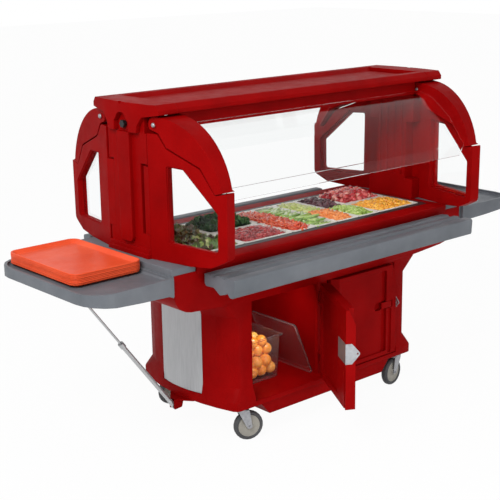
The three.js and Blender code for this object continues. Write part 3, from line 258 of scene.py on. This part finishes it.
def surface(name, points, corners, sizes, material, body, slot, tones, sharp):
    """A smooth mesh of faces given as one run of corners and each face's size."""
    mesh = bpy.data.meshes.new(name)
    mesh.vertices.add(len(points))
    mesh.vertices.foreach_set("co", np.asarray(points, np.float32).ravel())
    mesh.loops.add(len(corners))
    mesh.loops.foreach_set("vertex_index", corners.astype(np.int32))
    mesh.polygons.add(len(sizes))
    mesh.polygons.foreach_set("loop_start", np.concatenate([[0], np.cumsum(sizes)[:-1]]).astype(np.int32))
    mesh.update(calc_edges=True)
    mesh.validate()
    mesh.polygons.foreach_set("use_smooth", np.ones(len(mesh.polygons), bool))
    if sharp:
        mesh.set_sharp_from_angle(angle=math.radians(sharp))
    if tones is not None:
        mesh.attributes.new("tone", "FLOAT", "POINT").data.foreach_set("value", np.asarray(tones, np.float32))
    mesh.materials.append(material)
    made = bpy.data.objects.new(name, mesh)
    bpy.context.scene.collection.objects.link(made)
    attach(made, body)
    return made


def loft(rings):
    """Rings (k, m, 3), anticlockwise seen from the last one, joined by quads and closed at both ends."""
    count, around = rings.shape[:2]
    index = np.arange(count * around).reshape(count, around)
    low, high = index[:-1], index[1:]
    quads = np.stack([low, np.roll(low, -1, 1), np.roll(high, -1, 1), high], -1).reshape(-1, 4)
    return rings.reshape(-1, 3), [*quads, index[0][::-1], index[-1]]


def turned(radii, heights, around=10):
    """A profile of radii and heights turned about Z."""
    angle = np.linspace(0, 2 * np.pi, around, endpoint=False)
    ring = np.stack([np.cos(angle), np.sin(angle), np.zeros(around)], -1)
    rings = ring[None] * np.asarray(radii)[:, None, None]
    rings[..., 2] = np.asarray(heights)[:, None]
    return loft(rings)


def bead(rings=5, around=8, squareness=1.0):
    """A unit superellipsoid: radius cos(t)^e at height sin(t)^e, where e below 1 squares it."""
    t = np.linspace(-1.35, 1.35, rings)
    power = lambda value: np.sign(value) * np.abs(value) ** squareness
    angle = np.linspace(0, 2 * np.pi, around, endpoint=False) + np.pi / around
    circle = np.stack([power(np.cos(angle)), power(np.sin(angle))], -1)
    points = np.zeros((rings, around, 3))
    points[..., :2] = circle[None] * power(np.cos(t))[:, None, None]
    points[..., 2] = power(np.sin(t))[:, None]
    return loft(points)


def stick(bend=0.0, stations=5, around=6, flat=1.0, taper=0.75):
    """A rod along X from -1 to 1 with rounded ends, bent upwards by bend, its section flattened by flat."""
    along = np.linspace(-1, 1, stations)
    radius = 1 - (1 - taper) * np.abs(along) ** 3
    angle = np.linspace(0, 2 * np.pi, around, endpoint=False)
    points = np.zeros((stations, around, 3))
    points[..., 0] = along[:, None]
    points[..., 1] = radius[:, None] * np.cos(angle)
    points[..., 2] = radius[:, None] * np.sin(angle) * flat + bend * (along**2)[:, None]
    return loft(points)


def leaf(ruffle, curl, seed):
    """A closed thin leaf: a sheet pinched towards its ends and curled, with ruffles that grow to its edge."""
    u, v = np.meshgrid(np.linspace(-1, 1, 5), np.linspace(-1, 1, 5), indexing="ij")
    edge = np.maximum(np.abs(u), np.abs(v))
    height = curl * u**2 + ruffle * edge * np.sin(4.1 * u + seed) * np.cos(3.7 * v + 2 * seed)
    top = np.stack([u, v * (1 - 0.35 * u**2), height], -1).reshape(-1, 3)
    bottom = top - [0, 0, 0.07]
    index = np.arange(25).reshape(5, 5)
    quad = np.stack([index[:-1, :-1], index[1:, :-1], index[1:, 1:], index[:-1, 1:]], -1).reshape(-1, 4)
    rim = np.concatenate([index[:-1, 0], index[-1, :-1], index[:0:-1, -1], index[0, :0:-1]])
    after = np.roll(rim, -1)
    walls = np.stack([rim, rim + 25, after + 25, after], -1)
    return np.concatenate([top, bottom]), [*quad, *(quad[:, ::-1] + 25), *walls]


def turns(angles):
    """Rotation matrices (n, 3, 3) for turns about X, Y and Z."""
    cx, cy, cz = np.cos(angles).T
    sx, sy, sz = np.sin(angles).T
    return np.stack(
        [
            np.stack([cy * cz, sx * sy * cz - cx * sz, cx * sy * cz + sx * sz], -1),
            np.stack([cy * sz, sx * sy * sz + cx * cz, cx * sy * sz - sx * cz], -1),
            np.stack([-sy, sx * cy, cx * cy], -1),
        ],
        1,
    )


def scattered(name, units, centres, angles, sizes, tones, material, body="cart", slot=None):
    """Copies of a few unit shapes, one at each centre, as one mesh."""
    spin = turns(angles)
    points, corners, counts, tone, start = [], [], [], [], 0
    for which, (unit, faces) in enumerate(units):
        mine = np.arange(len(centres)) % len(units) == which
        placed = np.einsum("nij,nkj->nki", spin[mine], unit[None] * sizes[mine][:, None]) + centres[mine][:, None]
        copies, each = placed.shape[:2]
        flat = np.concatenate([np.asarray(face) for face in faces])
        corners.append((flat[None] + (np.arange(copies) * each)[:, None] + start).ravel())
        counts.append(np.tile([len(face) for face in faces], copies))
        points.append(placed.reshape(-1, 3))
        tone.append(np.repeat(tones[mine], each))
        start += copies * each
    joined = [np.concatenate(parts) for parts in (points, corners, counts)]
    return surface(name, *joined, material, body, slot, np.concatenate(tone), 0)


def outline(half_x, half_y, corner, steps=8):
    """Points round a rectangle with quarter-circle corners, anticlockwise."""
    angle = np.linspace(0, np.pi / 2, steps + 1)
    quarter = np.stack([np.cos(angle), np.sin(angle)], -1) * corner
    inset = np.array([half_x - corner, half_y - corner])
    corners = ((1, 0, (1, 1)), (0, 1, (-1, 1)), (-1, 0, (-1, -1)), (0, -1, (1, -1)))
    return np.concatenate([quarter @ np.array([[c, s], [-s, c]]) + inset * sign for c, s, sign in corners])


def moulded(node, material, edge_mm, steps=3, angle=32, weld_mm=0.3):
    """A copy of a node with its flat facets merged and its edges rolled over, as they come from a mould."""
    source = nodes[node]
    mesh = source.data.copy()
    mesh.name = node + "_finished"
    shape = bmesh.new()
    shape.from_mesh(mesh)
    bmesh.ops.remove_doubles(shape, verts=shape.verts, dist=weld_mm / 1000)
    bmesh.ops.dissolve_degenerate(shape, edges=shape.edges, dist=weld_mm / 1000)
    bmesh.ops.dissolve_limit(shape, angle_limit=math.radians(1.0), verts=shape.verts, edges=shape.edges)
    bmesh.ops.triangulate(shape, faces=[face for face in shape.faces if len(face.verts) > 4])
    shape.to_mesh(mesh)
    shape.free()
    if "custom_normal" in mesh.attributes:
        mesh.attributes.remove(mesh.attributes["custom_normal"])
    mesh.polygons.foreach_set("use_smooth", np.ones(len(mesh.polygons), bool))
    mesh.set_sharp_from_angle(angle=math.radians(angle))
    mesh.materials.clear()
    mesh.materials.append(material)
    made = bpy.data.objects.new(node + "_finished", mesh)
    bpy.context.scene.collection.objects.link(made)
    roll = made.modifiers.new("rolled_edges", "BEVEL")
    roll.width = edge_mm / 1000
    roll.segments = steps
    roll.limit_method = "ANGLE"
    roll.angle_limit = math.radians(angle)
    roll.use_clamp_overlap = True
    roll.harden_normals = True
    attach(made, source["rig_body"])
    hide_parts(node)
    return made


def repaint(made, material, chosen):
    """Gives the faces whose centres chosen() picks another material."""
    mesh = made.data
    centres = np.zeros(len(mesh.polygons) * 3)
    mesh.polygons.foreach_get("center", centres)
    mesh.materials.append(material)
    index = np.where(chosen(centres.reshape(-1, 3)), len(mesh.materials) - 1, 0)
    mesh.polygons.foreach_set("material_index", index.astype(np.int32))


# ---------------------------------------------------------------- moulded pieces
moulded("cabinet_body", red_polyethylene, 5)
moulded("canopy", red_polyethylene, 5)
for end, _ in ENDS:
    moulded("canopy_cap_" + end, red_polyethylene, 6)
    moulded("pillar_" + end, red_polyethylene, 5)
    moulded("door_latch_" + end, red_polyethylene, 1.5)
    moulded("shelf_root_" + end, grey_polyethylene, 4)
    moulded("end_shelf_" + end, grey_polyethylene, 5)
    moulded("canopy_knob_" + end, black_nylon, 1.5)
    moulded("end_panel_" + end, brushed_aluminium, 1)
    moulded("brace_tube_" + end, strut_aluminium, 1)
    moulded("brace_rod_" + end, strut_aluminium, 1)
    for side, _ in SIDES:
        moulded(f"wing_{side}_{end}", red_polyethylene, 6)
        moulded(f"guard_arm_{side}_{end}", red_polyethylene, 8)
        moulded(f"side_pane_{side}_{end}", clear_acrylic, 1.5)
for side, _ in SIDES:
    moulded("tray_rail_" + side, grey_polyethylene, 3)
    moulded("guard_pane_" + side, clear_acrylic, 1.5)
moulded("well_liner", dark_well_metal, 1.5)
for node in nodes:
    if node.startswith("food_pan_"):
        moulded(node, pan_polycarbonate, 2)
moulded("fruit_bin", clear_bin_plastic, 1.5, 2)
moulded("fruit_bin_lid", clear_bin_plastic, 1.5, 2)

# Doors: the padlock plate on each free edge is steel, and so are its folded back.
DOOR_FREE_EDGE = 0.519
DOOR_OUTER = -0.366
DOOR_INNER = DOOR_OUTER + 0.050
DOOR_PIN = Vector((0.020, -0.334, 0))
PLATE_HEIGHT = (0.448, 0.552)


def as_closed(points, sign):
    """Points on a door, turned back to where the right-hand door has them when it is closed."""
    angle = math.radians(-60 if sign < 0 else 0)
    from_pin = points - [sign * DOOR_PIN.x, MIDDLE_Y + DOOR_PIN.y, 0]
    x = from_pin[:, 0] * math.cos(angle) - from_pin[:, 1] * math.sin(angle)
    y = from_pin[:, 0] * math.sin(angle) + from_pin[:, 1] * math.cos(angle)
    return np.stack([sign * x + DOOR_PIN.x, y + DOOR_PIN.y, points[:, 2]], -1)


def on_plate(sign):
    def chosen(points):
        x, y, z = as_closed(points, sign).T
        level = (z > PLATE_HEIGHT[0] - 0.001) & (z < PLATE_HEIGHT[1] + 0.001)
        beyond_edge = x > DOOR_FREE_EDGE + 0.0005
        ear = (x > DOOR_FREE_EDGE - 0.002) & ((y < DOOR_OUTER - 0.0005) | (y > DOOR_INNER + 0.0005))
        back = (y > DOOR_INNER + 0.0005) & (x > DOOR_FREE_EDGE - 0.130)
        return level & (beyond_edge | ear | back)

    return chosen


for end, sign in ENDS:
    door = moulded("door_" + end, red_polyethylene, 4)
    repaint(door, zinc_steel, on_plate(sign))

# Casters: zinc forks, grey tread on a paler moulded hub.
for side, _ in SIDES:
    for end, _ in ENDS:
        moulded(f"caster_fork_{side}_{end}", zinc_steel, 1, 2)
        roll = joints[f"roll_{side}_{end}"]
        axle, centre = np.array(roll["axis"]), np.array(roll["pos_m"])

        def is_hub(points, axle=axle, centre=centre):
            out = points - centre
            return np.linalg.norm(out - np.outer(out @ axle, axle), axis=1) < 0.058

        wheel = moulded(f"caster_wheel_{side}_{end}", rubber_tread, 2, 2)
        repaint(wheel, wheel_hub_plastic, is_hub)


# ---------------------------------------------------------------- food
def over_pan(node, part=(0.0, 1.0)):
    """Middle and half sizes of a pan's mouth, or of part of its length from the front."""
    low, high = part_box(node)
    inset = 0.012
    y0, y1 = low.y + inset, high.y - inset
    front, back = y0 + (y1 - y0) * part[0], y0 + (y1 - y0) * part[1]
    middle = np.array([(low.x + high.x) / 2, (front + back) / 2])
    return middle, np.array([(high.x - low.x) / 2 - inset, (back - front) / 2])


FOOD_EDGE_Z = 0.982  # where food meets a pan's wall, below its rim
BED_BASE_Z = 0.955
BED_GRID = 19


def mound(across, crown):
    """Height of a heap at places across in -1 to 1: its edge plus a crown that falls as the fourth power."""
    fall = np.clip(1 - np.abs(across) ** 4, 0, 1).prod(-1)
    return FOOD_EDGE_Z + crown * fall


def bed(name, middle, half, crown, material):
    """The heap's body: a grid a little below the mound, with walls down to a flat base."""
    across = np.linspace(-1, 1, BED_GRID)
    u, v = np.meshgrid(across, across, indexing="ij")
    lumps = 0.003 * np.sin(9 * u + 5 * v) * np.cos(11 * v - 4 * u)
    height = mound(np.stack([u, v], -1), crown) - 0.012 + lumps
    top = np.stack([middle[0] + u * half[0], middle[1] + v * half[1], height], -1).reshape(-1, 3)
    bottom = top * [1, 1, 0] + [0, 0, BED_BASE_Z]
    index = np.arange(len(top)).reshape(BED_GRID, BED_GRID)
    quad = np.stack([index[:-1, :-1], index[1:, :-1], index[1:, 1:], index[:-1, 1:]], -1).reshape(-1, 4)
    rim = np.concatenate([index[:-1, 0], index[-1, :-1], index[:0:-1, -1], index[0, :0:-1]])
    after = np.roll(rim, -1)
    walls = np.stack([rim, rim + len(top), after + len(top), after], -1)
    faces = [*quad, *(quad[:, ::-1] + len(top)), *walls]
    tones = np.full(2 * len(top), 0.1)
    return piece(name, np.concatenate([top, bottom]), faces, material, tones=tones)


def heap(name, node, units, size, material, crown, part=(0.0, 1.0), pitch=0.8, tilt=0.5, layers=2, align=None):
    """Pieces on a jittered grid in a few layers over a mound, as one mesh.

    size is a piece's half sizes in metres, pitch its spacing in its own widths, tilt its largest lean in
    radians, and align its heading in radians where the pieces lie one way.
    """
    middle, half = over_pan(node, part)
    size = np.asarray(size)
    step = 2 * pitch * size[:2] if align is not None else np.full(2, 2 * pitch * np.sort(size)[1])
    room = half - size[:2].min() * 0.7
    spots = []
    for layer in range(layers):
        nx, ny = np.maximum(1, (2 * half / step).astype(int))
        grid = np.stack(np.meshgrid(np.arange(nx), np.arange(ny), indexing="ij"), -1).reshape(-1, 2)
        across = (grid + 0.5 + rng.uniform(-0.38, 0.38, grid.shape) + 0.5 * (layer % 2)) / [nx, ny] * 2 - 1
        across = np.clip(across, -1, 1) * room / half
        height = mound(across, crown) - layer * size.min() * 1.1 + rng.uniform(-1, 1, len(across)) * size.min() * 0.45
        spots.append(np.column_stack([middle + across * half, height]))
    spots = np.concatenate(spots)
    count = len(spots)
    angles = np.column_stack([rng.uniform(-tilt, tilt, (count, 2)), rng.uniform(0, 2 * np.pi, count)])
    if align is not None:
        angles[:, 2] = align + rng.normal(0, 0.35, count)
    sizes = size[None] * rng.uniform(0.8, 1.15, (count, 1)) * rng.uniform(0.92, 1.08, (count, 3))
    bed(name + "_bed", middle, half, crown, material)
    return scattered(name, units, spots, angles, sizes, rng.uniform(0.05, 0.95, count), material)


red_leaf_lettuce = fresh("red_leaf_lettuce", ["#2E3318", "#4B5524", "#6A7434", "#6E3A28", "#8A8F4C"], 0.5, 0.2, 9, 1.2)
mixed_greens = fresh("mixed_greens", ["#5B2E3C", "#3B5228", "#6F8A3C", "#A9B46A", "#C9CC96"], 0.45, 0.25, 9, 1.2)
curly_kale = fresh("curly_kale", ["#142A17", "#1F3E20", "#2E5A2C", "#4C7A3E"], 0.55, 0.15, 6, 1.5)
diced_tomato = fresh("diced_tomato", ["#7E0F16", "#A31B22", "#BC3034", "#CF5450"], 0.22, 0.8, 8, 0.5)
pepper_strips = fresh("red_pepper_strips", ["#C2331C", "#DD4A2A", "#E8633E", "#F08A5E"], 0.25, 0.6, 10, 0.5)
green_spears = fresh("celery_spears", ["#5F8A2E", "#86AD46", "#A8C767", "#CFE0A0"], 0.3, 0.5, 9, 0.5)
cucumber = fresh("cucumber_slices", ["#A9BC4E", "#C2CF6E", "#D4DC8C", "#E2E7AC"], 0.3, 0.5, 7, 0.4)
carrot = fresh("carrot_pieces", ["#D8651C", "#E87B2C", "#F0914A", "#F6A968"], 0.35, 0.35, 9, 0.5)
dark_grapes = fresh("dark_grapes", ["#2A1218", "#43202A", "#5C3038", "#79505A"], 0.3, 0.3, 12, 0.2)
green_grapes = fresh("green_grapes", ["#7C9A38", "#93AF4C", "#A8C062", "#BFD080"], 0.25, 0.4, 12, 0.2, 0.3)
strawberry = fresh("strawberries", ["#8E0F18", "#B01C26", "#C93A3E", "#E8867A", "#F2B8A8"], 0.25, 0.7, 6, 0.8)
mango = fresh("mango_cubes", ["#DE8A14", "#EC9F22", "#F4B23C", "#F8C660"], 0.3, 0.6, 10, 0.6, 0.2)

salad_leaves = [leaf(0.28, 0.35, s) for s in (0.4, 1.7, 3.1, 4.4)]
kale_leaves = [leaf(0.5, 0.5, s) for s in (0.2, 2.2, 3.9)]
strips = [stick(0.35, 5, 6, 0.55), stick(-0.3, 5, 6, 0.55)]
spears = [stick(0.15, 5, 6, 0.7), stick(-0.12, 5, 6, 0.7)]
baton = stick(0.1, 4, 6, 0.9)
dice = bead(5, 8, 0.75)
cube = bead(4, 8, 0.45)
slice_of_cucumber = bead(4, 10, 0.6)
grape = bead(7, 10)
berry = turned([0.55, 0.98, 1.0, 0.78, 0.4, 0.08], [-0.85, -0.55, -0.1, 0.5, 0.95, 1.15], 8)

# What lies in the pans: name, pan, unit shapes, half sizes, material, crown height, and heap()'s other settings.
HEAPS = (
    ("salad_red_leaf", "food_pan_1_rear", salad_leaves, (0.030, 0.026, 0.030), red_leaf_lettuce, 0.030,
     {"pitch": 0.55, "tilt": 0.9, "layers": 3}),
    ("salad_mixed_greens", "food_pan_1_front", salad_leaves, (0.026, 0.022, 0.026), mixed_greens, 0.024,
     {"pitch": 0.55, "tilt": 0.9, "layers": 3}),
    ("salad_kale", "food_pan_2_rear", kale_leaves, (0.026, 0.024, 0.028), curly_kale, 0.030,
     {"pitch": 0.5, "tilt": 1.1, "layers": 3}),
    ("salad_tomato", "food_pan_2_front", [dice], (0.0125, 0.0115, 0.010), diced_tomato, 0.020,
     {"pitch": 0.72, "tilt": 1.2, "layers": 3}),
    ("salad_pepper", "food_pan_3_left", strips, (0.030, 0.0085, 0.0085), pepper_strips, 0.018,
     {"pitch": 0.5, "tilt": 0.5, "layers": 3}),
    ("salad_spears", "food_pan_3_right", spears, (0.050, 0.011, 0.010), green_spears, 0.016,
     {"pitch": 0.55, "tilt": 0.16, "layers": 3, "align": 0.3}),
    ("salad_cucumber", "food_pan_4_left", [slice_of_cucumber], (0.017, 0.017, 0.0055), cucumber, 0.016,
     {"part": (0.5, 1.0), "pitch": 0.55, "tilt": 0.7, "layers": 3}),
    ("salad_carrot", "food_pan_4_left", [baton], (0.017, 0.009, 0.009), carrot, 0.020,
     {"part": (0.0, 0.5), "pitch": 0.62, "tilt": 0.8, "layers": 3}),
    ("fruit_dark_grapes", "food_pan_4_right", [grape], (0.012, 0.0115, 0.0145), dark_grapes, 0.024,
     {"part": (0.5, 1.0), "pitch": 0.74, "tilt": 1.4}),
    ("fruit_green_grapes", "food_pan_4_right", [grape], (0.012, 0.0115, 0.0145), green_grapes, 0.022,
     {"part": (0.0, 0.5), "pitch": 0.74, "tilt": 1.4}),
    ("fruit_strawberries", "food_pan_5_rear", [berry], (0.0175, 0.0165, 0.018), strawberry, 0.040,
     {"pitch": 0.72, "tilt": 1.5, "layers": 3}),
    ("fruit_mango", "food_pan_5_front", [cube], (0.012, 0.011, 0.0105), mango, 0.018,
     {"pitch": 0.74, "tilt": 1.0, "layers": 3}),
)
for name, pan, units, size, material, crown, settings in HEAPS:
    heap(name, pan, units, size, material, crown, **settings)

# Apricots in the clear bin, four layers deep.
apricot = fresh("apricot_skin", ["#DE7C1E", "#EE952E", "#F4A844", "#F8BC5E"], 0.4, 0.15, 16, 0.4, 0.25)
bin_low, bin_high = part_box("fruit_bin")
dimpled = turned(
    [0.05, 0.3, 0.62, 0.86, 0.985, 1.0, 0.93, 0.74, 0.45, 0.22, 0.06],
    [-0.93, -0.92, -0.76, -0.5, -0.16, 0.16, 0.46, 0.74, 0.93, 0.95, 0.86],
    16,
)
fruit_radius = 0.0325
bin_floor = 0.012
across = []
for layer, (nx, ny) in enumerate(((4, 4), (3, 4), (4, 3), (3, 3))):
    columns, rows = np.arange(nx) - (nx - 1) / 2, np.arange(ny) - (ny - 1) / 2
    grid = np.stack(np.meshgrid(columns, rows, indexing="ij"), -1).reshape(-1, 2)
    level = np.full(len(grid), layer * fruit_radius * 1.5) + rng.uniform(0, 0.003, len(grid))
    across.append(np.column_stack([grid * fruit_radius * 1.93, level]))
across = np.concatenate(across)
bin_middle = [(bin_low.x + bin_high.x) / 2, (bin_low.y + bin_high.y) / 2, bin_low.z + bin_floor + fruit_radius]
centres = across + bin_middle
angles = rng.uniform(-np.pi, np.pi, centres.shape)
radii = np.full(centres.shape, fruit_radius)
tones = rng.uniform(0.1, 0.9, len(centres))
scattered("fruit_apricots", [dimpled], centres, angles, radii, tones, apricot)

# ---------------------------------------------------------------- trays
TRAY_COUNT = 7
TRAY_HEIGHT = 0.021
# How far in from the rim and how high, in mm: up the inside, over the rolled rim, down the outside.
TRAY_FLARE = [
    (34, 2.2), (27, 2.6), (24, 4.0), (10, 17.0), (7, 19.6), (4, 21.0), (1.6, 20.8), (0.2, 19.4), (0, 17.0),
    (0, 13.6), (0.8, 12.8), (1.8, 13.6), (1.8, 16.5), (6, 16.0), (12, 12.6), (25, 1.6), (28, 0.4), (34, 0),
]
stack_low, stack_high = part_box("tray_stack")


def tray(number):
    """A flat tray: a rounded rectangle carried up a flared wall and over a rolled rim."""
    half = np.array([(stack_high.x - stack_low.x) / 2, (stack_high.y - stack_low.y) / 2]) - 0.0015
    step = (stack_high.z - stack_low.z - TRAY_HEIGHT) / (TRAY_COUNT - 1)
    rings = []
    for inset, height in TRAY_FLARE:
        edge = inset / 1000
        ring = outline(half[0] - edge, half[1] - edge, max(0.045 - edge, 0.012))
        rings.append(np.column_stack([ring, np.full(len(ring), height / 1000)]))
    shape = np.array(rings)[::-1]
    slip = rng.uniform(-0.0012, 0.0012, 2)
    middle_x, middle_y = (stack_low.x + stack_high.x) / 2, (stack_low.y + stack_high.y) / 2
    shape += [middle_x + slip[0], middle_y + slip[1], stack_low.z + number * step]
    points, faces = loft(shape)
    name = f"serving_tray_{number + 1}"
    return piece(name, points, faces, coral_fibreglass, "shelf_left", "coral_plastic", sharp=50)


trays = [tray(number) for number in range(TRAY_COUNT)]
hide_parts("tray_stack")


# ---------------------------------------------------------------- small fittings
GUARD_PIVOT_Y = 0.212  # from the middle plane
GUARD_PIVOT_Z = 1.630


def bolt(name, x, y, z, out, radius, material, body):
    """A domed carriage bolt head whose axis runs along X, out of the piece that it holds."""
    points, faces = turned([1.0, 1.0, 0.92, 0.7, 0.35, 0.05], [-0.25, 0.12, 0.3, 0.48, 0.58, 0.62], 20)
    placed = np.stack([points[:, 2] * out, points[:, 0], points[:, 1] * out], -1) * radius + [x, MIDDLE_Y + y, z]
    return piece(name, placed, faces, material, body, sharp=60)


for end, sign in ENDS:
    for side, facing in SIDES:
        arm_low, arm_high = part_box(f"guard_arm_{side}_{end}")
        outer = arm_low.x if sign < 0 else arm_high.x
        pivot_y = facing * GUARD_PIVOT_Y
        bolt(f"guard_bolt_{side}_{end}", outer, pivot_y, GUARD_PIVOT_Z, sign, 0.011, zinc_steel, "guard_" + side)
        inner = arm_high.x if sign < 0 else arm_low.x
        bolt(f"pane_bolt_{side}_{end}", inner, pivot_y, GUARD_PIVOT_Z, -sign, 0.009, zinc_steel, "guard_" + side)


# ---------------------------------------------------------------- floor, light and camera
def seen_straight(tree):
    """1 for the rays that show the background: those from the camera, off a shine, or through clear sheet."""
    path = add(tree, "ShaderNodeLightPath").outputs
    shown = path["Is Camera Ray"]
    for other in ("Is Transmission Ray", "Is Glossy Ray"):
        shown = add(tree, "ShaderNodeMath", {0: shown, 1: path[other]}, operation="MAXIMUM").outputs[0]
    return shown


def build_stage():
    """A plain pale floor under a white world, with four lamps.

    A key light stands on the left, a weak fill in front, a low light faces the doors, and a small one
    lights the cupboard from inside.
    """
    material = bpy.data.materials.new("pale_floor")
    material.use_nodes = True
    tree = material.node_tree
    tree.nodes.clear()
    matt = add(tree, "ShaderNodeBsdfDiffuse", {"Color": linear("#EDEDED")})
    paper = add(tree, "ShaderNodeEmission", {"Color": (1, 1, 1, 1), "Strength": 1.0})
    # What is left of the matt floor keeps the object's shadow.
    share = add(tree, "ShaderNodeMath", {0: seen_straight(tree), 1: 0.96}, operation="MULTIPLY").outputs[0]
    both = add(tree, "ShaderNodeMixShader", {0: share, 1: matt.outputs[0], 2: paper.outputs[0]})
    add(tree, "ShaderNodeOutputMaterial", {"Surface": both.outputs[0]})
    mesh = bpy.data.meshes.new("floor")
    mesh.from_pydata([(-30, -30, 0), (30, -30, 0), (30, 30, 0), (-30, 30, 0)], [], [(0, 1, 2, 3)])
    mesh.materials.append(material)
    floor = bpy.data.objects.new("floor", mesh)
    bpy.context.scene.collection.objects.link(floor)

    world = bpy.data.worlds.new("studio")
    world.use_nodes = True
    tree = world.node_tree
    tree.nodes.clear()
    light_and_look = {"Value": seen_straight(tree), "To Min": 0.55, "To Max": 1.0}
    strength = add(tree, "ShaderNodeMapRange", light_and_look).outputs[0]
    sky = add(tree, "ShaderNodeBackground", {"Color": (1, 1, 1, 1), "Strength": strength})
    add(tree, "ShaderNodeOutputWorld", {"Surface": sky.outputs[0]})
    bpy.context.scene.world = world

    for name, place, aim, power, size in (
        ("key_light", (-4.6, -2.0, 4.6), (0, 0, 0.9), 230, 2.4),
        ("fill_light", (3.0, -4.6, 3.2), (0, 0, 0.8), 30, 3.0),
        ("low_light", (-0.6, -2.9, 0.5), (-0.2, 0, 0.5), 14, 1.0),
        ("cupboard_light", (-0.27, -0.21, 0.66), (-0.27, 0.25, 0.40), 1.3, 0.12),
    ):
        lamp = bpy.data.lights.new(name, "AREA")
        lamp.energy = power
        lamp.size = size
        made = bpy.data.objects.new(name, lamp)
        made.location = place
        made.rotation_euler = (Vector(aim) - Vector(place)).to_track_quat("-Z", "Y").to_euler()
        made.visible_camera = made.visible_transmission = False  # the lamps themselves stay out of the picture
        bpy.context.scene.collection.objects.link(made)


place_camera()
build_stage()
bpy.context.scene.view_settings.view_transform = "Standard"
